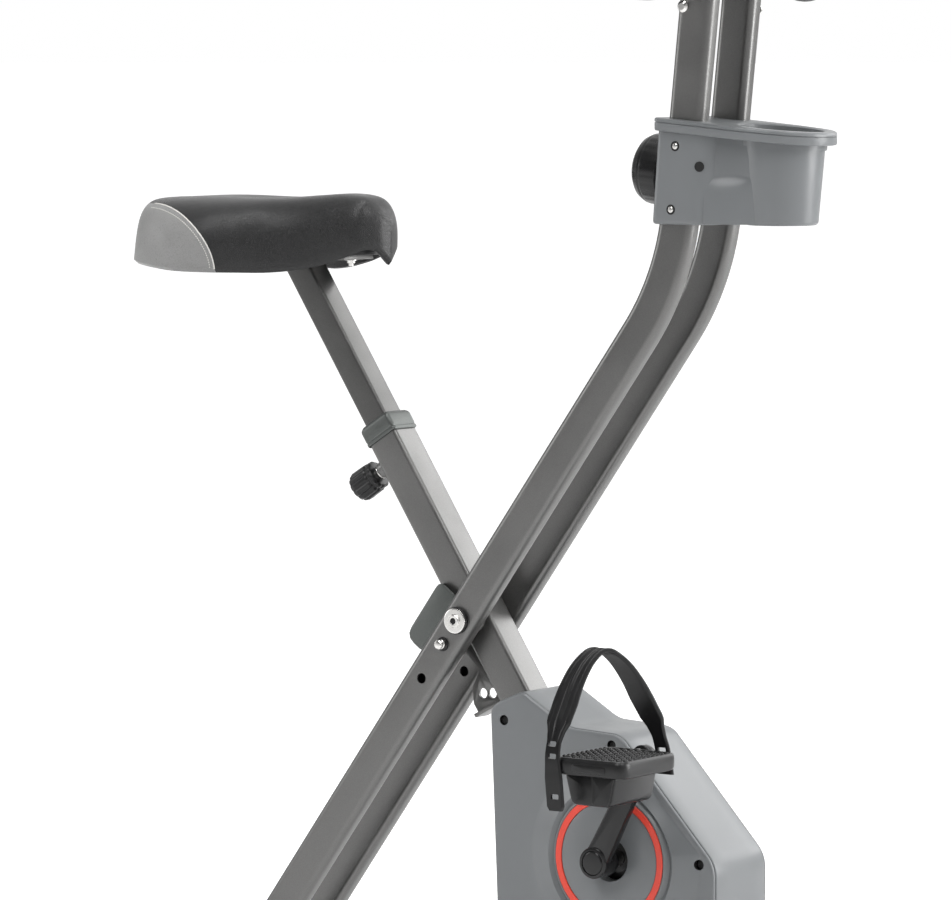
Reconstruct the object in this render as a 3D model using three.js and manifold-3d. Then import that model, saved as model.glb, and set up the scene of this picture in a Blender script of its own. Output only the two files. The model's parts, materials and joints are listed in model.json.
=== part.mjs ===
// Folding upright exercise bike, millimetres, +Z up, +X the way the rider faces, +Y the rider's left.
// The frame is an X: a leg tube with the seat post in its top, and twin oval tubes that carry the
// handlebar. Both turn on one pivot bolt. Shapes are placed from that bolt, and the last group moves
// the whole bike so that its origin is the middle of its footprint on the floor.
import * as THREE from 'three';
import { mergeVertices } from 'three/addons/utils/BufferGeometryUtils.js';
import Module from 'manifold-3d';

const wasm = await Module();
wasm.setup();

const RAD = Math.PI / 180;
const GAP = 0.3;

// Driving dimensions.
const PIVOT_HEIGHT = 515;
const FOOTPRINT_SHIFT = -2.25;
const SEAT_LEAN = 33 * RAD;
const TUBE_LEAN = 36 * RAD;
const UPPER_LEAN = 6 * RAD;
const LEG_SIZE = 38;
const LEG_WALL = 2;
const POST_SIZE = 30;
const POST_WALL = 2;
const TUBE_DEPTH = 40;
const TUBE_WIDTH = 20;
const TUBE_WALL = 1.8;
const TUBE_SPACING = 75.7;
const TUBE_BEND_RADIUS = 260;
const TUBE_BEND_ALONG = 442.6;
const TUBE_UPPER_LENGTH = 293;
const FOOT_RADIUS = 30;
const FOOT_BAR_RADIUS = 25;
const FOOT_BAR_HALF = 188;
const FOOT_CAP_LENGTH = 44;
const CRANK_AXLE = { x: 197, z: -229 };
const CRANK_LENGTH = 127;
const CRANK_ANGLE = 62.4 * RAD;
const FLYWHEEL_AXLE = { x: 170, z: -330 };
const FLYWHEEL_RADIUS = 80;
const PULLEY_RADIUS = 78;
const PINION_RADIUS = 15;
const HOUSING_HALF = 45;
const RING_OUTER = 65;
const RING_INNER = 58;
const UPPER_ORIGIN = { x: 285.6, z: 600 };

// ---- solids ---------------------------------------------------------------------------------------

const toSolid = (geometry) => {
  const bare = geometry.index ? geometry.toNonIndexed() : geometry.clone();
  bare.deleteAttribute('normal');
  bare.deleteAttribute('uv');
  const merged = mergeVertices(bare, 1e-4);
  return new wasm.Manifold(new wasm.Mesh({
    numProp: 3,
    vertProperties: new Float32Array(merged.attributes.position.array),
    triVerts: new Uint32Array(merged.index.array),
  }));
};

const toGeometry = (solid) => {
  const mesh = solid.getMesh();
  const geometry = new THREE.BufferGeometry();
  geometry.setAttribute('position', new THREE.BufferAttribute(new Float32Array(mesh.vertProperties), 3));
  geometry.setIndex(new THREE.BufferAttribute(new Uint32Array(mesh.triVerts), 1));
  geometry.computeVertexNormals();
  return geometry;
};

const join = (...geometries) => geometries.map(toSolid).reduce((whole, piece) => whole.add(piece));
const cut = (whole, ...geometries) => geometries.map(toSolid).reduce((rest, tool) => rest.subtract(tool),
  whole);
const carve = (geometry, ...tools) => toGeometry(cut(toSolid(geometry), ...tools));

// ---- shapes ---------------------------------------------------------------------------------------

// A box given by its lowest and highest corners.
const block = (low, high) => new THREE.BoxGeometry(high[0] - low[0], high[1] - low[1], high[2] - low[2])
  .translate((low[0] + high[0]) / 2, (low[1] + high[1]) / 2, (low[2] + high[2]) / 2);

// A cylinder along Y at (x, z), from y0 to y1.
const roundY = (radius, x, z, y0, y1, sides = 16) => new THREE.CylinderGeometry(radius, radius, y1 - y0,
  sides)
  .translate(x, (y0 + y1) / 2, z);

// A cylinder along X at (y, z), from x0 to x1.
const roundX = (radius, y, z, x0, x1, sides = 16) => new THREE.CylinderGeometry(radius, radius, x1 - x0,
  sides)
  .rotateZ(-Math.PI / 2).translate((x0 + x1) / 2, y, z);

// A turned piece along Y at (x, z). The profile holds [radius, y] pairs and closes on itself or the axis.
const turnedY = (profile, x, z, sides = 18) => new THREE.LatheGeometry(
  profile.map(([radius, y]) => new THREE.Vector2(radius, y)), sides).translate(x, 0, z);

// An outline in X and Z, given as corners [x, z, rounding], carried along Y from y0 to y1.
const roundedShape = (corners, steps) => {
  const shape = new THREE.Shape();
  const count = corners.length;
  corners.forEach(([x, z, rounding], index) => {
    const corner = new THREE.Vector2(x, z);
    const before = new THREE.Vector2(...corners[(index + count - 1) % count]);
    const after = new THREE.Vector2(...corners[(index + 1) % count]);
    const into = before.sub(corner).normalize();
    const out = after.sub(corner).normalize();
    const half = Math.acos(THREE.MathUtils.clamp(into.dot(out), -1, 1)) / 2;
    const reach = (rounding || 0) / Math.tan(half);
    const start = corner.clone().addScaledVector(into, reach);
    const end = corner.clone().addScaledVector(out, reach);
    if (index === 0) shape.moveTo(start.x, start.y);
    else shape.lineTo(start.x, start.y);
    if (reach > 0) shape.quadraticCurveTo(x, z, end.x, end.y);
  });
  shape.closePath();
  const points = shape.extractPoints(steps).shape;
  return new THREE.Shape(points.filter((point, index) => point.distanceTo(points.at(index - 1)) > 1e-3));
};

const slab = (corners, y0, y1, steps = 3) => new THREE.ExtrudeGeometry(roundedShape(corners, steps), {
  depth: y1 - y0, bevelEnabled: false, curveSegments: steps,
}).rotateX(Math.PI / 2).translate(0, y1, 0);

// A path through stations, with one extrusion step between each two of them.
class StationPath extends THREE.Curve {
  constructor(stations) {
    super();
    this.stations = stations.map(([x, y, z]) => new THREE.Vector3(x, y, z));
  }

  getPoint(t, target = new THREE.Vector3()) {
    const place = t * (this.stations.length - 1);
    const index = Math.min(Math.floor(place + 1e-9), this.stations.length - 2);
    return target.lerpVectors(this.stations[index], this.stations[index + 1], place - index);
  }

  getPointAt(u, target) {
    return this.getPoint(u, target);
  }

  getTangentAt(u, target = new THREE.Vector3()) {
    const last = this.stations.length - 1;
    const index = Math.round(u * last);
    const before = this.stations[Math.max(index - 1, 0)];
    const after = this.stations[Math.min(index + 1, last)];
    const here = this.stations[index];
    const behind = here.clone().sub(before).normalize();
    const ahead = after.clone().sub(here).normalize();
    return target.copy(behind.add(ahead).normalize());
  }
}

const sweep = (shape, stations) => new THREE.ExtrudeGeometry(shape, {
  steps: stations.length - 1, extrudePath: new StationPath(stations), curveSegments: 5,
});

const discShape = (radius, sides, hole = 0) => {
  const circle = (r) => Array.from({ length: sides }, (_, i) => new THREE.Vector2(
    r * Math.cos((2 * Math.PI * i) / sides), r * Math.sin((2 * Math.PI * i) / sides)));
  const shape = new THREE.Shape(circle(radius));
  if (hole) shape.holes.push(new THREE.Path(circle(hole).reverse()));
  return shape;
};

const ovalPoints = (depth, width, steps = 4) => {
  const radius = width / 2;
  const straight = depth / 2 - radius;
  const points = [];
  for (const end of [1, -1]) {
    for (let step = 0; step <= steps; step += 1) {
      const angle = (Math.PI * step) / steps + (end > 0 ? 0 : Math.PI);
      points.push(new THREE.Vector2(radius * Math.cos(angle), end * straight + radius * Math.sin(angle)));
    }
  }
  return points;
};

// A point that lies some way up a leaning tube and some way in front of its axis.
const onLean = (lean, along, ahead = 0) => ({
  x: along * Math.sin(lean) + ahead * Math.cos(lean),
  z: along * Math.cos(lean) - ahead * Math.sin(lean),
});

// ---- finishes -------------------------------------------------------------------------------------

const finish = (color, roughness, metalness) => () => new THREE.MeshStandardMaterial({ color, roughness,
  metalness });
const framePaint = finish(0x6f6d6b, 0.38, 0.75);
const postPaint = finish(0x55534f, 0.4, 0.8);
const greyPlastic = finish(0x6d7174, 0.5, 0);
const blackPlastic = finish(0x17181a, 0.55, 0);
const rubber = finish(0x121212, 0.85, 0);
const foam = finish(0x1b1b1c, 0.95, 0);
const leather = finish(0x1d1d1f, 0.55, 0);
const zinc = finish(0xc9c9c6, 0.25, 1);
const castIron = finish(0x3c3d3f, 0.5, 0.9);
const redPlastic = finish(0xe2402f, 0.45, 0);
const glass = finish(0x22282b, 0.1, 0);

const bike = new THREE.Group();
bike.position.set(FOOTPRINT_SHIFT, 0, PIVOT_HEIGHT);

const leaning = (lean, origin = { x: 0, z: 0 }) => {
  const group = new THREE.Group();
  group.rotation.y = lean;
  group.position.set(origin.x, 0, origin.z);
  group.updateMatrix();
  bike.add(group);
  return group;
};
const seatLine = leaning(-SEAT_LEAN);
const tubeLine = leaning(TUBE_LEAN);
const upperLine = leaning(UPPER_LEAN, UPPER_ORIGIN);

const put = (group, name, geometry, material) => {
  const mesh = new THREE.Mesh(geometry, material());
  mesh.name = name;
  group.add(mesh);
  return mesh;
};

// Tools for cutting, brought from bike coordinates into a leaning group's own.
const into = (group, geometry) => geometry.applyMatrix4(group.matrix.clone().invert());
const outOf = (group, geometry) => geometry.applyMatrix4(group.matrix);

const bothSides = (build) => {
  build('right', -1);
  build('left', 1);
};

// ---- leg, feet and pivot ---------------------------------------------------------------------------

const FOOT_DROP = PIVOT_HEIGHT - FOOT_RADIUS;
const FRONT_FOOT = onLean(-SEAT_LEAN, -FOOT_DROP / Math.cos(SEAT_LEAN));
const REAR_FOOT = onLean(TUBE_LEAN, -FOOT_DROP / Math.cos(TUBE_LEAN));
const PIVOT_BOLT_RADIUS = 6;
const PIVOT_BUSH_RADIUS = 12;
const PIVOT_BUSH_HALF = 27.4;
const SHELL_RADIUS = 20;
const SHELL_HALF = 34;
const COLLAR_LOW = 217;
const COLLAR_HIGH = 238;
const KNOB_ALONG = 193;

const legTube = () => {
  const low = -FOOT_DROP / Math.cos(SEAT_LEAN);
  const outer = LEG_SIZE / 2;
  const inner = outer - LEG_WALL;
  const tube = join(
    block([-outer, -outer, low], [outer, outer, COLLAR_HIGH - 7]),
    roundY(PIVOT_BUSH_RADIUS, 0, 0, -PIVOT_BUSH_HALF, PIVOT_BUSH_HALF),
    roundX(9, 0, KNOB_ALONG, -outer - 12, -outer + 1, 12),
  );
  const hollow = [
    block([-inner, -inner, low - 1], [inner, inner, -PIVOT_BUSH_RADIUS - 2]),
    block([-inner, -inner, PIVOT_BUSH_RADIUS + 2], [inner, inner, COLLAR_HIGH]),
    roundY(PIVOT_BOLT_RADIUS + GAP, 0, 0, -40, 40),
    roundX(5.4, 0, KNOB_ALONG, -outer - 20, -inner + 1, 12),
    into(seatLine, roundY(FOOT_BAR_RADIUS + GAP, FRONT_FOOT.x, FRONT_FOOT.z, -60, 60, 32)),
  ];
  put(seatLine, 'leg_tube', toGeometry(cut(tube, ...hollow)), framePaint);
};

const collar = () => {
  const outer = LEG_SIZE / 2 + 2;
  const around = LEG_SIZE / 2 + GAP;
  const bore = POST_SIZE / 2 + GAP;
  const body = slab([[-outer, COLLAR_LOW, 0], [outer, COLLAR_LOW, 0], [outer, COLLAR_HIGH - 3, 0],
    [outer - 3, COLLAR_HIGH, 0], [-outer + 3, COLLAR_HIGH, 0], [-outer, COLLAR_HIGH - 3, 0]], -outer, outer);
  put(seatLine, 'seat_collar', carve(
    body,
    block([-around, -around, COLLAR_LOW - 1], [around, around, COLLAR_HIGH - 6.7]),
    block([-bore, -bore, COLLAR_LOW], [bore, bore, COLLAR_HIGH + 1]),
  ), blackPlastic);
};

// The plate behind the leg. The lock plunger enters its upper hole when the bike stands open, and two
// more holes line up with the holes in the tubes as it folds.
const STOP_PIN_ALONG = -31.6;
const LOCK_PIN_RADIUS = 5;
const PLUNGER_TIP = -0.4;
const FOLD_HOLE_RADIUS = 5.5;
const FOLD_HOLES = [{ x: -0.5, z: -80 }, { x: 11.5, z: -79 }];
const LOCK_HOLE = onLean(TUBE_LEAN, STOP_PIN_ALONG);
const lockBracket = () => {
  const root = -LEG_SIZE / 2 - GAP;
  const plate = [[root, 4, 0], [-38, -3, 5], [-41, -20, 5], [-34, -44, 6], [-52, -55, 5], [-60, -70, 5],
    [-60, -83, 0],
    [root, -86, 0]];
  const holes = [
    roundY(LOCK_PIN_RADIUS + 0.4, LOCK_HOLE.x, LOCK_HOLE.z, -9, 9, 16),
    ...FOLD_HOLES.map(({ x, z }) => roundY(FOLD_HOLE_RADIUS, x, z, -9, 9, 16)),
  ].map((hole) => into(seatLine, hole));
  const lip = slab([[-60, -86, 0], [-60, -82, 0], [root - 3, -84.5, 0], [root - 3, -88.5, 0]], -11, 11);
  put(seatLine, 'lock_bracket', toGeometry(cut(join(slab(plate, -2, 2), lip), ...holes)), framePaint);
};

const footBars = () => {
  for (const [end, place] of [['front', FRONT_FOOT], ['rear', REAR_FOOT]]) {
    put(bike, `${end}_foot_bar`, carve(
      roundY(FOOT_BAR_RADIUS, place.x, place.z, -FOOT_BAR_HALF, FOOT_BAR_HALF, 24),
      roundY(FOOT_BAR_RADIUS - 1.8, place.x, place.z, -FOOT_BAR_HALF - 1, FOOT_BAR_HALF + 1, 16),
    ), framePaint);
    bothSides((side, sign) => footCap(end, place, side, sign));
  }
};

// A cylinder along Y between two offsets that are mirrored for the right side.
const sideRound = (radius, x, z, sign, near, far, sides) => roundY(
  radius, x, z, Math.min(sign * near, sign * far), Math.max(sign * near, sign * far), sides);

const sideSlab = (corners, sign, near, far, steps) => slab(
  corners, Math.min(sign * near, sign * far), Math.max(sign * near, sign * far), steps);

const sideBlock = (sign, low, high) => block(
  [low[0], Math.min(sign * low[1], sign * high[1]), low[2]],
  [high[0], Math.max(sign * low[1], sign * high[1]), high[2]]);

// A turned piece on one side: the profile is given for the left side, outwards along +Y.
const sideTurned = (profile, x, z, sign, sides) => {
  const geometry = turnedY(profile, 0, 0, sides);
  return (sign > 0 ? geometry : geometry.rotateZ(Math.PI)).translate(x, 0, z);
};

// A plastic end cap on a foot bar. The front ones carry a transport wheel on a lug.
const WHEEL_RADIUS = 22;
const WHEEL_AHEAD = 54;
const WHEEL_RISE = 4;
const WHEEL_INNER = FOOT_BAR_HALF - 12;
const WHEEL_OUTER = FOOT_BAR_HALF + 4;
const WHEEL_AXLE_RADIUS = 4;
const LUG_INNER = WHEEL_INNER - 9;
const footCap = (end, place, side, sign) => {
  const inner = FOOT_BAR_HALF - 30;
  const outer = FOOT_BAR_HALF + FOOT_CAP_LENGTH - 30;
  const bore = FOOT_BAR_RADIUS + GAP;
  const profile = [[bore, inner], [FOOT_RADIUS, inner], [FOOT_RADIUS, outer - 6],
    [FOOT_RADIUS - 6, outer], [0, outer], [0, FOOT_BAR_HALF + GAP], [bore, FOOT_BAR_HALF + GAP], [bore,
      inner]];
  let cap = toSolid(sideTurned(profile, 0, 0, sign, 24));
  if (end === 'front') {
    const lug = [[bore + 2, -14, 0], [WHEEL_AHEAD + 10, WHEEL_RISE - 10, 9], [WHEEL_AHEAD + 10,
      WHEEL_RISE + 10, 9],
      [bore + 2, 14, 0]];
    cap = cap.add(toSolid(sideSlab(lug, sign, LUG_INNER, WHEEL_INNER - 1)));
    cap = cut(cap, sideRound(WHEEL_AXLE_RADIUS + 0.4, WHEEL_AHEAD, WHEEL_RISE, sign, LUG_INNER - 1,
      WHEEL_INNER, 16));
  }
  put(bike, `${end}_foot_cap_${side}`, toGeometry(cap).translate(place.x, 0, place.z), rubber);
};

const transportWheels = () => bothSides((side, sign) => {
  const profile = [[0, LUG_INNER - 2], [WHEEL_AXLE_RADIUS, LUG_INNER - 2], [WHEEL_AXLE_RADIUS,
    WHEEL_INNER - 0.6],
    [WHEEL_RADIUS, WHEEL_INNER - 0.6],
    [WHEEL_RADIUS, WHEEL_OUTER], [0, WHEEL_OUTER]];
  put(bike, `wheel_${side}`, sideTurned(profile, FRONT_FOOT.x + WHEEL_AHEAD, FRONT_FOOT.z + WHEEL_RISE,
    sign, 18), rubber);
});

const bottomBracket = () => {
  const { x, z } = CRANK_AXLE;
  put(bike, 'crank_shell', carve(
    roundY(SHELL_RADIUS, x, z, -SHELL_HALF, SHELL_HALF),
    roundY(SHELL_RADIUS - 2.5, x, z, -SHELL_HALF - 1, SHELL_HALF + 1),
  ), framePaint);
  const inner = SHELL_HALF - 12;
  const outer = SHELL_HALF - 1;
  const ring = [[AXLE_RADIUS + 0.4, inner], [SHELL_RADIUS - 3.4, inner], [SHELL_RADIUS - 3.4, outer],
    [AXLE_RADIUS + 0.4, outer], [AXLE_RADIUS + 0.4, inner]];
  bothSides((side, sign) => put(bike, `crank_bearing_${side}`, sideTurned(ring, x, z, sign), castIron));
};

// ---- twin tubes, stop bracket and fold lock --------------------------------------------------------

const FOLD_HOLE_ALONG = -78;
const BOLT_HEAD_RADIUS = 13;
const tubeStations = () => {
  const bend = TUBE_LEAN - UPPER_LEAN;
  const reach = TUBE_BEND_RADIUS * Math.tan(bend / 2);
  const lowEnd = -FOOT_DROP / Math.cos(TUBE_LEAN);
  const corner = onLean(TUBE_LEAN, TUBE_BEND_ALONG);
  const stations = [onLean(TUBE_LEAN, lowEnd)];
  const steps = 5;
  const centre = onLean(TUBE_LEAN, TUBE_BEND_ALONG - reach, -TUBE_BEND_RADIUS);
  for (let step = 0; step <= steps; step += 1) {
    const lean = TUBE_LEAN - (bend * step) / steps;
    stations.push({
      x: centre.x + TUBE_BEND_RADIUS * Math.cos(lean),
      z: centre.z - TUBE_BEND_RADIUS * Math.sin(lean),
    });
  }
  stations.push({
    x: corner.x + TUBE_UPPER_LENGTH * Math.sin(UPPER_LEAN),
    z: corner.z + TUBE_UPPER_LENGTH * Math.cos(UPPER_LEAN),
  });
  return stations;
};

const twinTubes = () => bothSides((side, sign) => {
  const y = (sign * TUBE_SPACING) / 2;
  const shape = new THREE.Shape(ovalPoints(TUBE_DEPTH, TUBE_WIDTH));
  shape.holes.push(new THREE.Path(ovalPoints(TUBE_DEPTH - 2 * TUBE_WALL,
    TUBE_WIDTH - 2 * TUBE_WALL).reverse()));
  const across = (radius, along, near = 20, far = 60) => {
    const { x, z } = onLean(TUBE_LEAN, along);
    return sideRound(radius, x, z, sign, near, far, 16);
  };
  const tools = [
    across(PIVOT_BOLT_RADIUS + GAP, 0),
    across(LOCK_PIN_RADIUS + 0.4, STOP_PIN_ALONG),
    across(5.5, FOLD_HOLE_ALONG),
    roundY(FOOT_BAR_RADIUS + GAP, REAR_FOOT.x, REAR_FOOT.z, -60, 60, 32),
    headScrewHole(sign),
  ];
  put(bike, `${side}_tube`, carve(sweep(shape, tubeStations().map(({ x, z }) => [x, y, z])), ...tools),
    framePaint);
});

// The channel between the twin tubes that the seat tube leans back on when the bike stands open.
const stopBracket = () => {
  const half = TUBE_SPACING / 2 - TUBE_WIDTH / 2 - GAP;
  const wall = 3;
  const side = [[-14, -60, 0], [-14, -18, 0], [-26, 8, 8], [-52, 8, 8], [-52, -66, 12], [-30, -66, 12]];
  const inner = [[-10, -80, 0], [-10, 30, 0], [-49, 30, 0], [-49, -80, 0]];
  const seatTube = outOf(seatLine, block([-LEG_SIZE / 2 - GAP, -LEG_SIZE / 2 - 0.6, -150],
    [60, LEG_SIZE / 2 + 0.6, 150]));
  put(tubeLine, 'stop_bracket', carve(
    slab(side, -half, half),
    slab(inner, -half + wall, half - wall),
    into(tubeLine, seatTube),
    roundY(PIVOT_BUSH_RADIUS + 2, 0, 0, -60, 60, 16),
  ), framePaint);
};

const pivotBolt = () => {
  const outside = TUBE_SPACING / 2 + TUBE_WIDTH / 2 + GAP;
  const end = outside + 12;
  put(bike, 'pivot_bolt', turnedY([[0, -outside - 8], [8, -outside - 8], [8, -outside - 2.5],
    [BOLT_HEAD_RADIUS, -outside - 2.5], [BOLT_HEAD_RADIUS, -outside], [PIVOT_BOLT_RADIUS, -outside],
    [PIVOT_BOLT_RADIUS, end], [0, end]], 0, 0), zinc);
  put(bike, 'pivot_nut', turnedY([[PIVOT_BOLT_RADIUS + GAP, outside], [BOLT_HEAD_RADIUS, outside],
    [BOLT_HEAD_RADIUS, outside + 2], [9.5, outside + 2], [9.5, outside + 10], [PIVOT_BOLT_RADIUS + GAP,
      outside + 10],
    [PIVOT_BOLT_RADIUS + GAP, outside]], 0, 0, 18), zinc);
};

// The right end of the lock: a domed pin held in the right tube. The left end is the sprung plunger,
// in a sleeve on the left tube, with its tip in the plate behind the leg.
const foldLock = () => {
  const { x, z } = onLean(TUBE_LEAN, STOP_PIN_ALONG);
  const inside = TUBE_SPACING / 2 - TUBE_WIDTH / 2;
  const outside = TUBE_SPACING / 2 + TUBE_WIDTH / 2;
  put(bike, 'lock_pin_end', sideTurned([[0, inside], [LOCK_PIN_RADIUS, inside], [LOCK_PIN_RADIUS,
    outside + 7],
    [LOCK_PIN_RADIUS - 2.5, outside + 10], [0, outside + 10]], x, z, -1, 16), zinc);
  put(bike, 'plunger_sleeve', sideTurned([[LOCK_PIN_RADIUS + 0.4, outside + GAP], [9, outside + GAP],
    [9, outside + 8], [LOCK_PIN_RADIUS + 0.4, outside + 8], [LOCK_PIN_RADIUS + 0.4, outside + GAP]],
  x, z, 1, 18), zinc);
  put(bike, 'lock_plunger', sideTurned([[0, PLUNGER_TIP], [LOCK_PIN_RADIUS - 1, PLUNGER_TIP],
    [LOCK_PIN_RADIUS, PLUNGER_TIP + 1.4],
    [LOCK_PIN_RADIUS, outside + 8.5], [11, outside + 8.5], [12, outside + 11], [12, outside + 22],
    [9, outside + 26], [0, outside + 26]], x, z, 1, 18), blackPlastic);
};

// ---- head, handlebar and console -------------------------------------------------------------------

const HEAD_SCREW_RADIUS = 3;
const HEAD_SCREW_ALONG = 28;
const HEAD_SCREW_AHEAD = 12;
const HEAD_HALF = 47;
const HEAD_SEAT = 50.4;
const HEAD_PLUG = 45;
const BAR_RADIUS = 12.7;
const BAR_CENTRE = { x: 302, z: 678 };
const FOAM_RADIUS = 16.5;
const headProfile = [[276, 652, 3], [316, 647.6, 3], [322, 664, 6], [322, 694, 14], [284, 700, 8], [266,
  672, 6]];

// The head's casting sits on the ends of the twin tubes, with a plug down inside each of them. One
// screw holds each plug: at the back of the right tube, and at the front of the left one.
const headScrewPlace = (sign) => onLean(UPPER_LEAN, HEAD_SCREW_ALONG, sign * HEAD_SCREW_AHEAD);
const headScrewHole = (sign) => {
  const { x, z } = headScrewPlace(sign);
  return sideRound(HEAD_SCREW_RADIUS + GAP, UPPER_ORIGIN.x + x, UPPER_ORIGIN.z + z, sign, 30, 60, 16);
};
const headBracket = () => {
  const plugShape = () => new THREE.Shape(ovalPoints(TUBE_DEPTH - 2 * TUBE_WALL - 2,
    TUBE_WIDTH - 2 * TUBE_WALL - 2));
  const plug = (sign) => outOf(upperLine, new THREE.ExtrudeGeometry(plugShape(), { depth: HEAD_PLUG,
    bevelEnabled: false })
    .rotateZ(Math.PI / 2).translate(0, (sign * TUBE_SPACING) / 2, HEAD_SEAT - HEAD_PLUG + 4));
  put(bike, 'head_bracket', toGeometry(cut(
    join(slab(headProfile, -HEAD_HALF, HEAD_HALF), plug(1), plug(-1)),
    roundY(BAR_RADIUS + GAP, BAR_CENTRE.x, BAR_CENTRE.z, -60, 60, 20),
    headScrewHole(1),
    headScrewHole(-1),
  )), blackPlastic);
  bothSides((side, sign) => {
    const outside = TUBE_SPACING / 2 + TUBE_WIDTH / 2 + GAP;
    const { x, z } = headScrewPlace(sign);
    put(bike, `head_screw_${side}`, sideTurned([[0, outside - 16], [HEAD_SCREW_RADIUS, outside - 16],
      [HEAD_SCREW_RADIUS, outside], [6, outside], [6, outside + 2], [3.5, outside + 4], [0, outside + 4]],
    UPPER_ORIGIN.x + x, UPPER_ORIGIN.z + z, sign, 16), zinc);
  });
};

// One side of the handlebar's centre line, out from the clamp and back to the rider's hand.
const BAR_ROUTE = [[302, 0, 678], [302, 60, 678], [301, 95, 663], [299, 130, 652], [290, 170, 653],
  [268, 200, 662], [236, 214, 675], [126, 224, 712]];
const GRIP_FROM = 2;
const GRIP_TO = 6;
const handlebar = () => {
  const left = BAR_ROUTE.map(([x, y, z]) => [x, y, z]);
  const right = left.slice(1).map(([x, y, z]) => [x, -y, z]).reverse();
  put(bike, 'handlebar', sweep(discShape(BAR_RADIUS, 12), [...right, ...left]), blackPlastic);
  bothSides((side, sign) => {
    const mirrored = BAR_ROUTE.map(([x, y, z]) => new THREE.Vector3(x, sign * y, z));
    const grip = mirrored.slice(GRIP_FROM, GRIP_TO + 1).map((point) => point.toArray());
    put(bike, `grip_${side}`, sweep(discShape(FOAM_RADIUS, 12, BAR_RADIUS + 1.3), grip), foam);
    const [hand, end] = mirrored.slice(GRIP_TO);
    const pulse = [0.06, 0.97].map((share) => hand.clone().lerp(end, share).toArray());
    put(bike, `pulse_sensor_${side}`, sweep(discShape(BAR_RADIUS + 3, 12, BAR_RADIUS + 1.1), pulse), zinc);
  });
};

const CONSOLE_TILT = 42 * RAD;
const CONSOLE_PLACE = { x: 250, z: 690 };
const CONSOLE_HALF = 80;
const BUTTON_OFFSETS = [-20, 20];
const BUTTON_BACK = -40;
const BUTTON_RADIUS = 7;
const consoleLine = leaning(-CONSOLE_TILT, CONSOLE_PLACE);
const consoleUnit = () => {
  const profile = [[-62, -10, 6], [-30, -16, 10], [34, -16, 8], [44, 0, 8], [40, 12, 6], [-60, 8, 5]];
  const peg = (radius, low, high, y) => new THREE.CylinderGeometry(radius, radius, high - low, 16)
    .rotateX(Math.PI / 2).translate(BUTTON_BACK, y, (low + high) / 2);
  put(consoleLine, 'console_shell', carve(
    slab(profile, -CONSOLE_HALF, CONSOLE_HALF),
    block([-20, -46, 5.5], [32, 46, 30]),
    ...BUTTON_OFFSETS.map((y) => peg(BUTTON_RADIUS + 0.4, 0, 30, y)),
    into(consoleLine, slab(headProfile, -HEAD_HALF - GAP, HEAD_HALF + GAP)),
    into(consoleLine, roundY(BAR_RADIUS + 1, BAR_CENTRE.x, BAR_CENTRE.z, -90, 90, 20)),
  ), blackPlastic);
  put(consoleLine, 'console_screen', block([-19.6, -45.6, 5.9], [31.6, 45.6, 8.6]), glass);
  BUTTON_OFFSETS.forEach((y, index) => put(consoleLine, `console_button_${index + 1}`,
    peg(BUTTON_RADIUS, 1.9, 10.9, y), redPlastic));
};

// ---- cup holder and tension knob -------------------------------------------------------------------

const HOLDER_LOW = 413;
const HOLDER_REAR = 243;
const HOLDER_FRONT = 312;
const HOLDER_HALF = 55;
const HOLDER_LEAN = Math.tan(4.3 * RAD);
const RIM_SLOPE = Math.tan(5 * RAD);
const RIM_TOP = 520;
const RIM_HEIGHT = 13;
const CUP_CENTRE = 362;
const CUP_TOP_RADIUS = 45.5;
const CUP_LOW_RADIUS = 39;
const CUP_WALL = 3;
const RIM_RADIUS = 54.5;

// Moves every point in X by its height over the holder's floor, or in Z by its place in X.
const leanBack = (geometry) => geometry.applyMatrix4(new THREE.Matrix4().makeShear(0, 0, 0, 0, HOLDER_LEAN,
  0)
  .setPosition(-HOLDER_LOW * HOLDER_LEAN, 0, 0));
const slopeRim = (geometry) => geometry.applyMatrix4(new THREE.Matrix4().makeShear(0, -RIM_SLOPE, 0, 0, 0, 0)
  .setPosition(0, 0, HOLDER_REAR * RIM_SLOPE));

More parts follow.
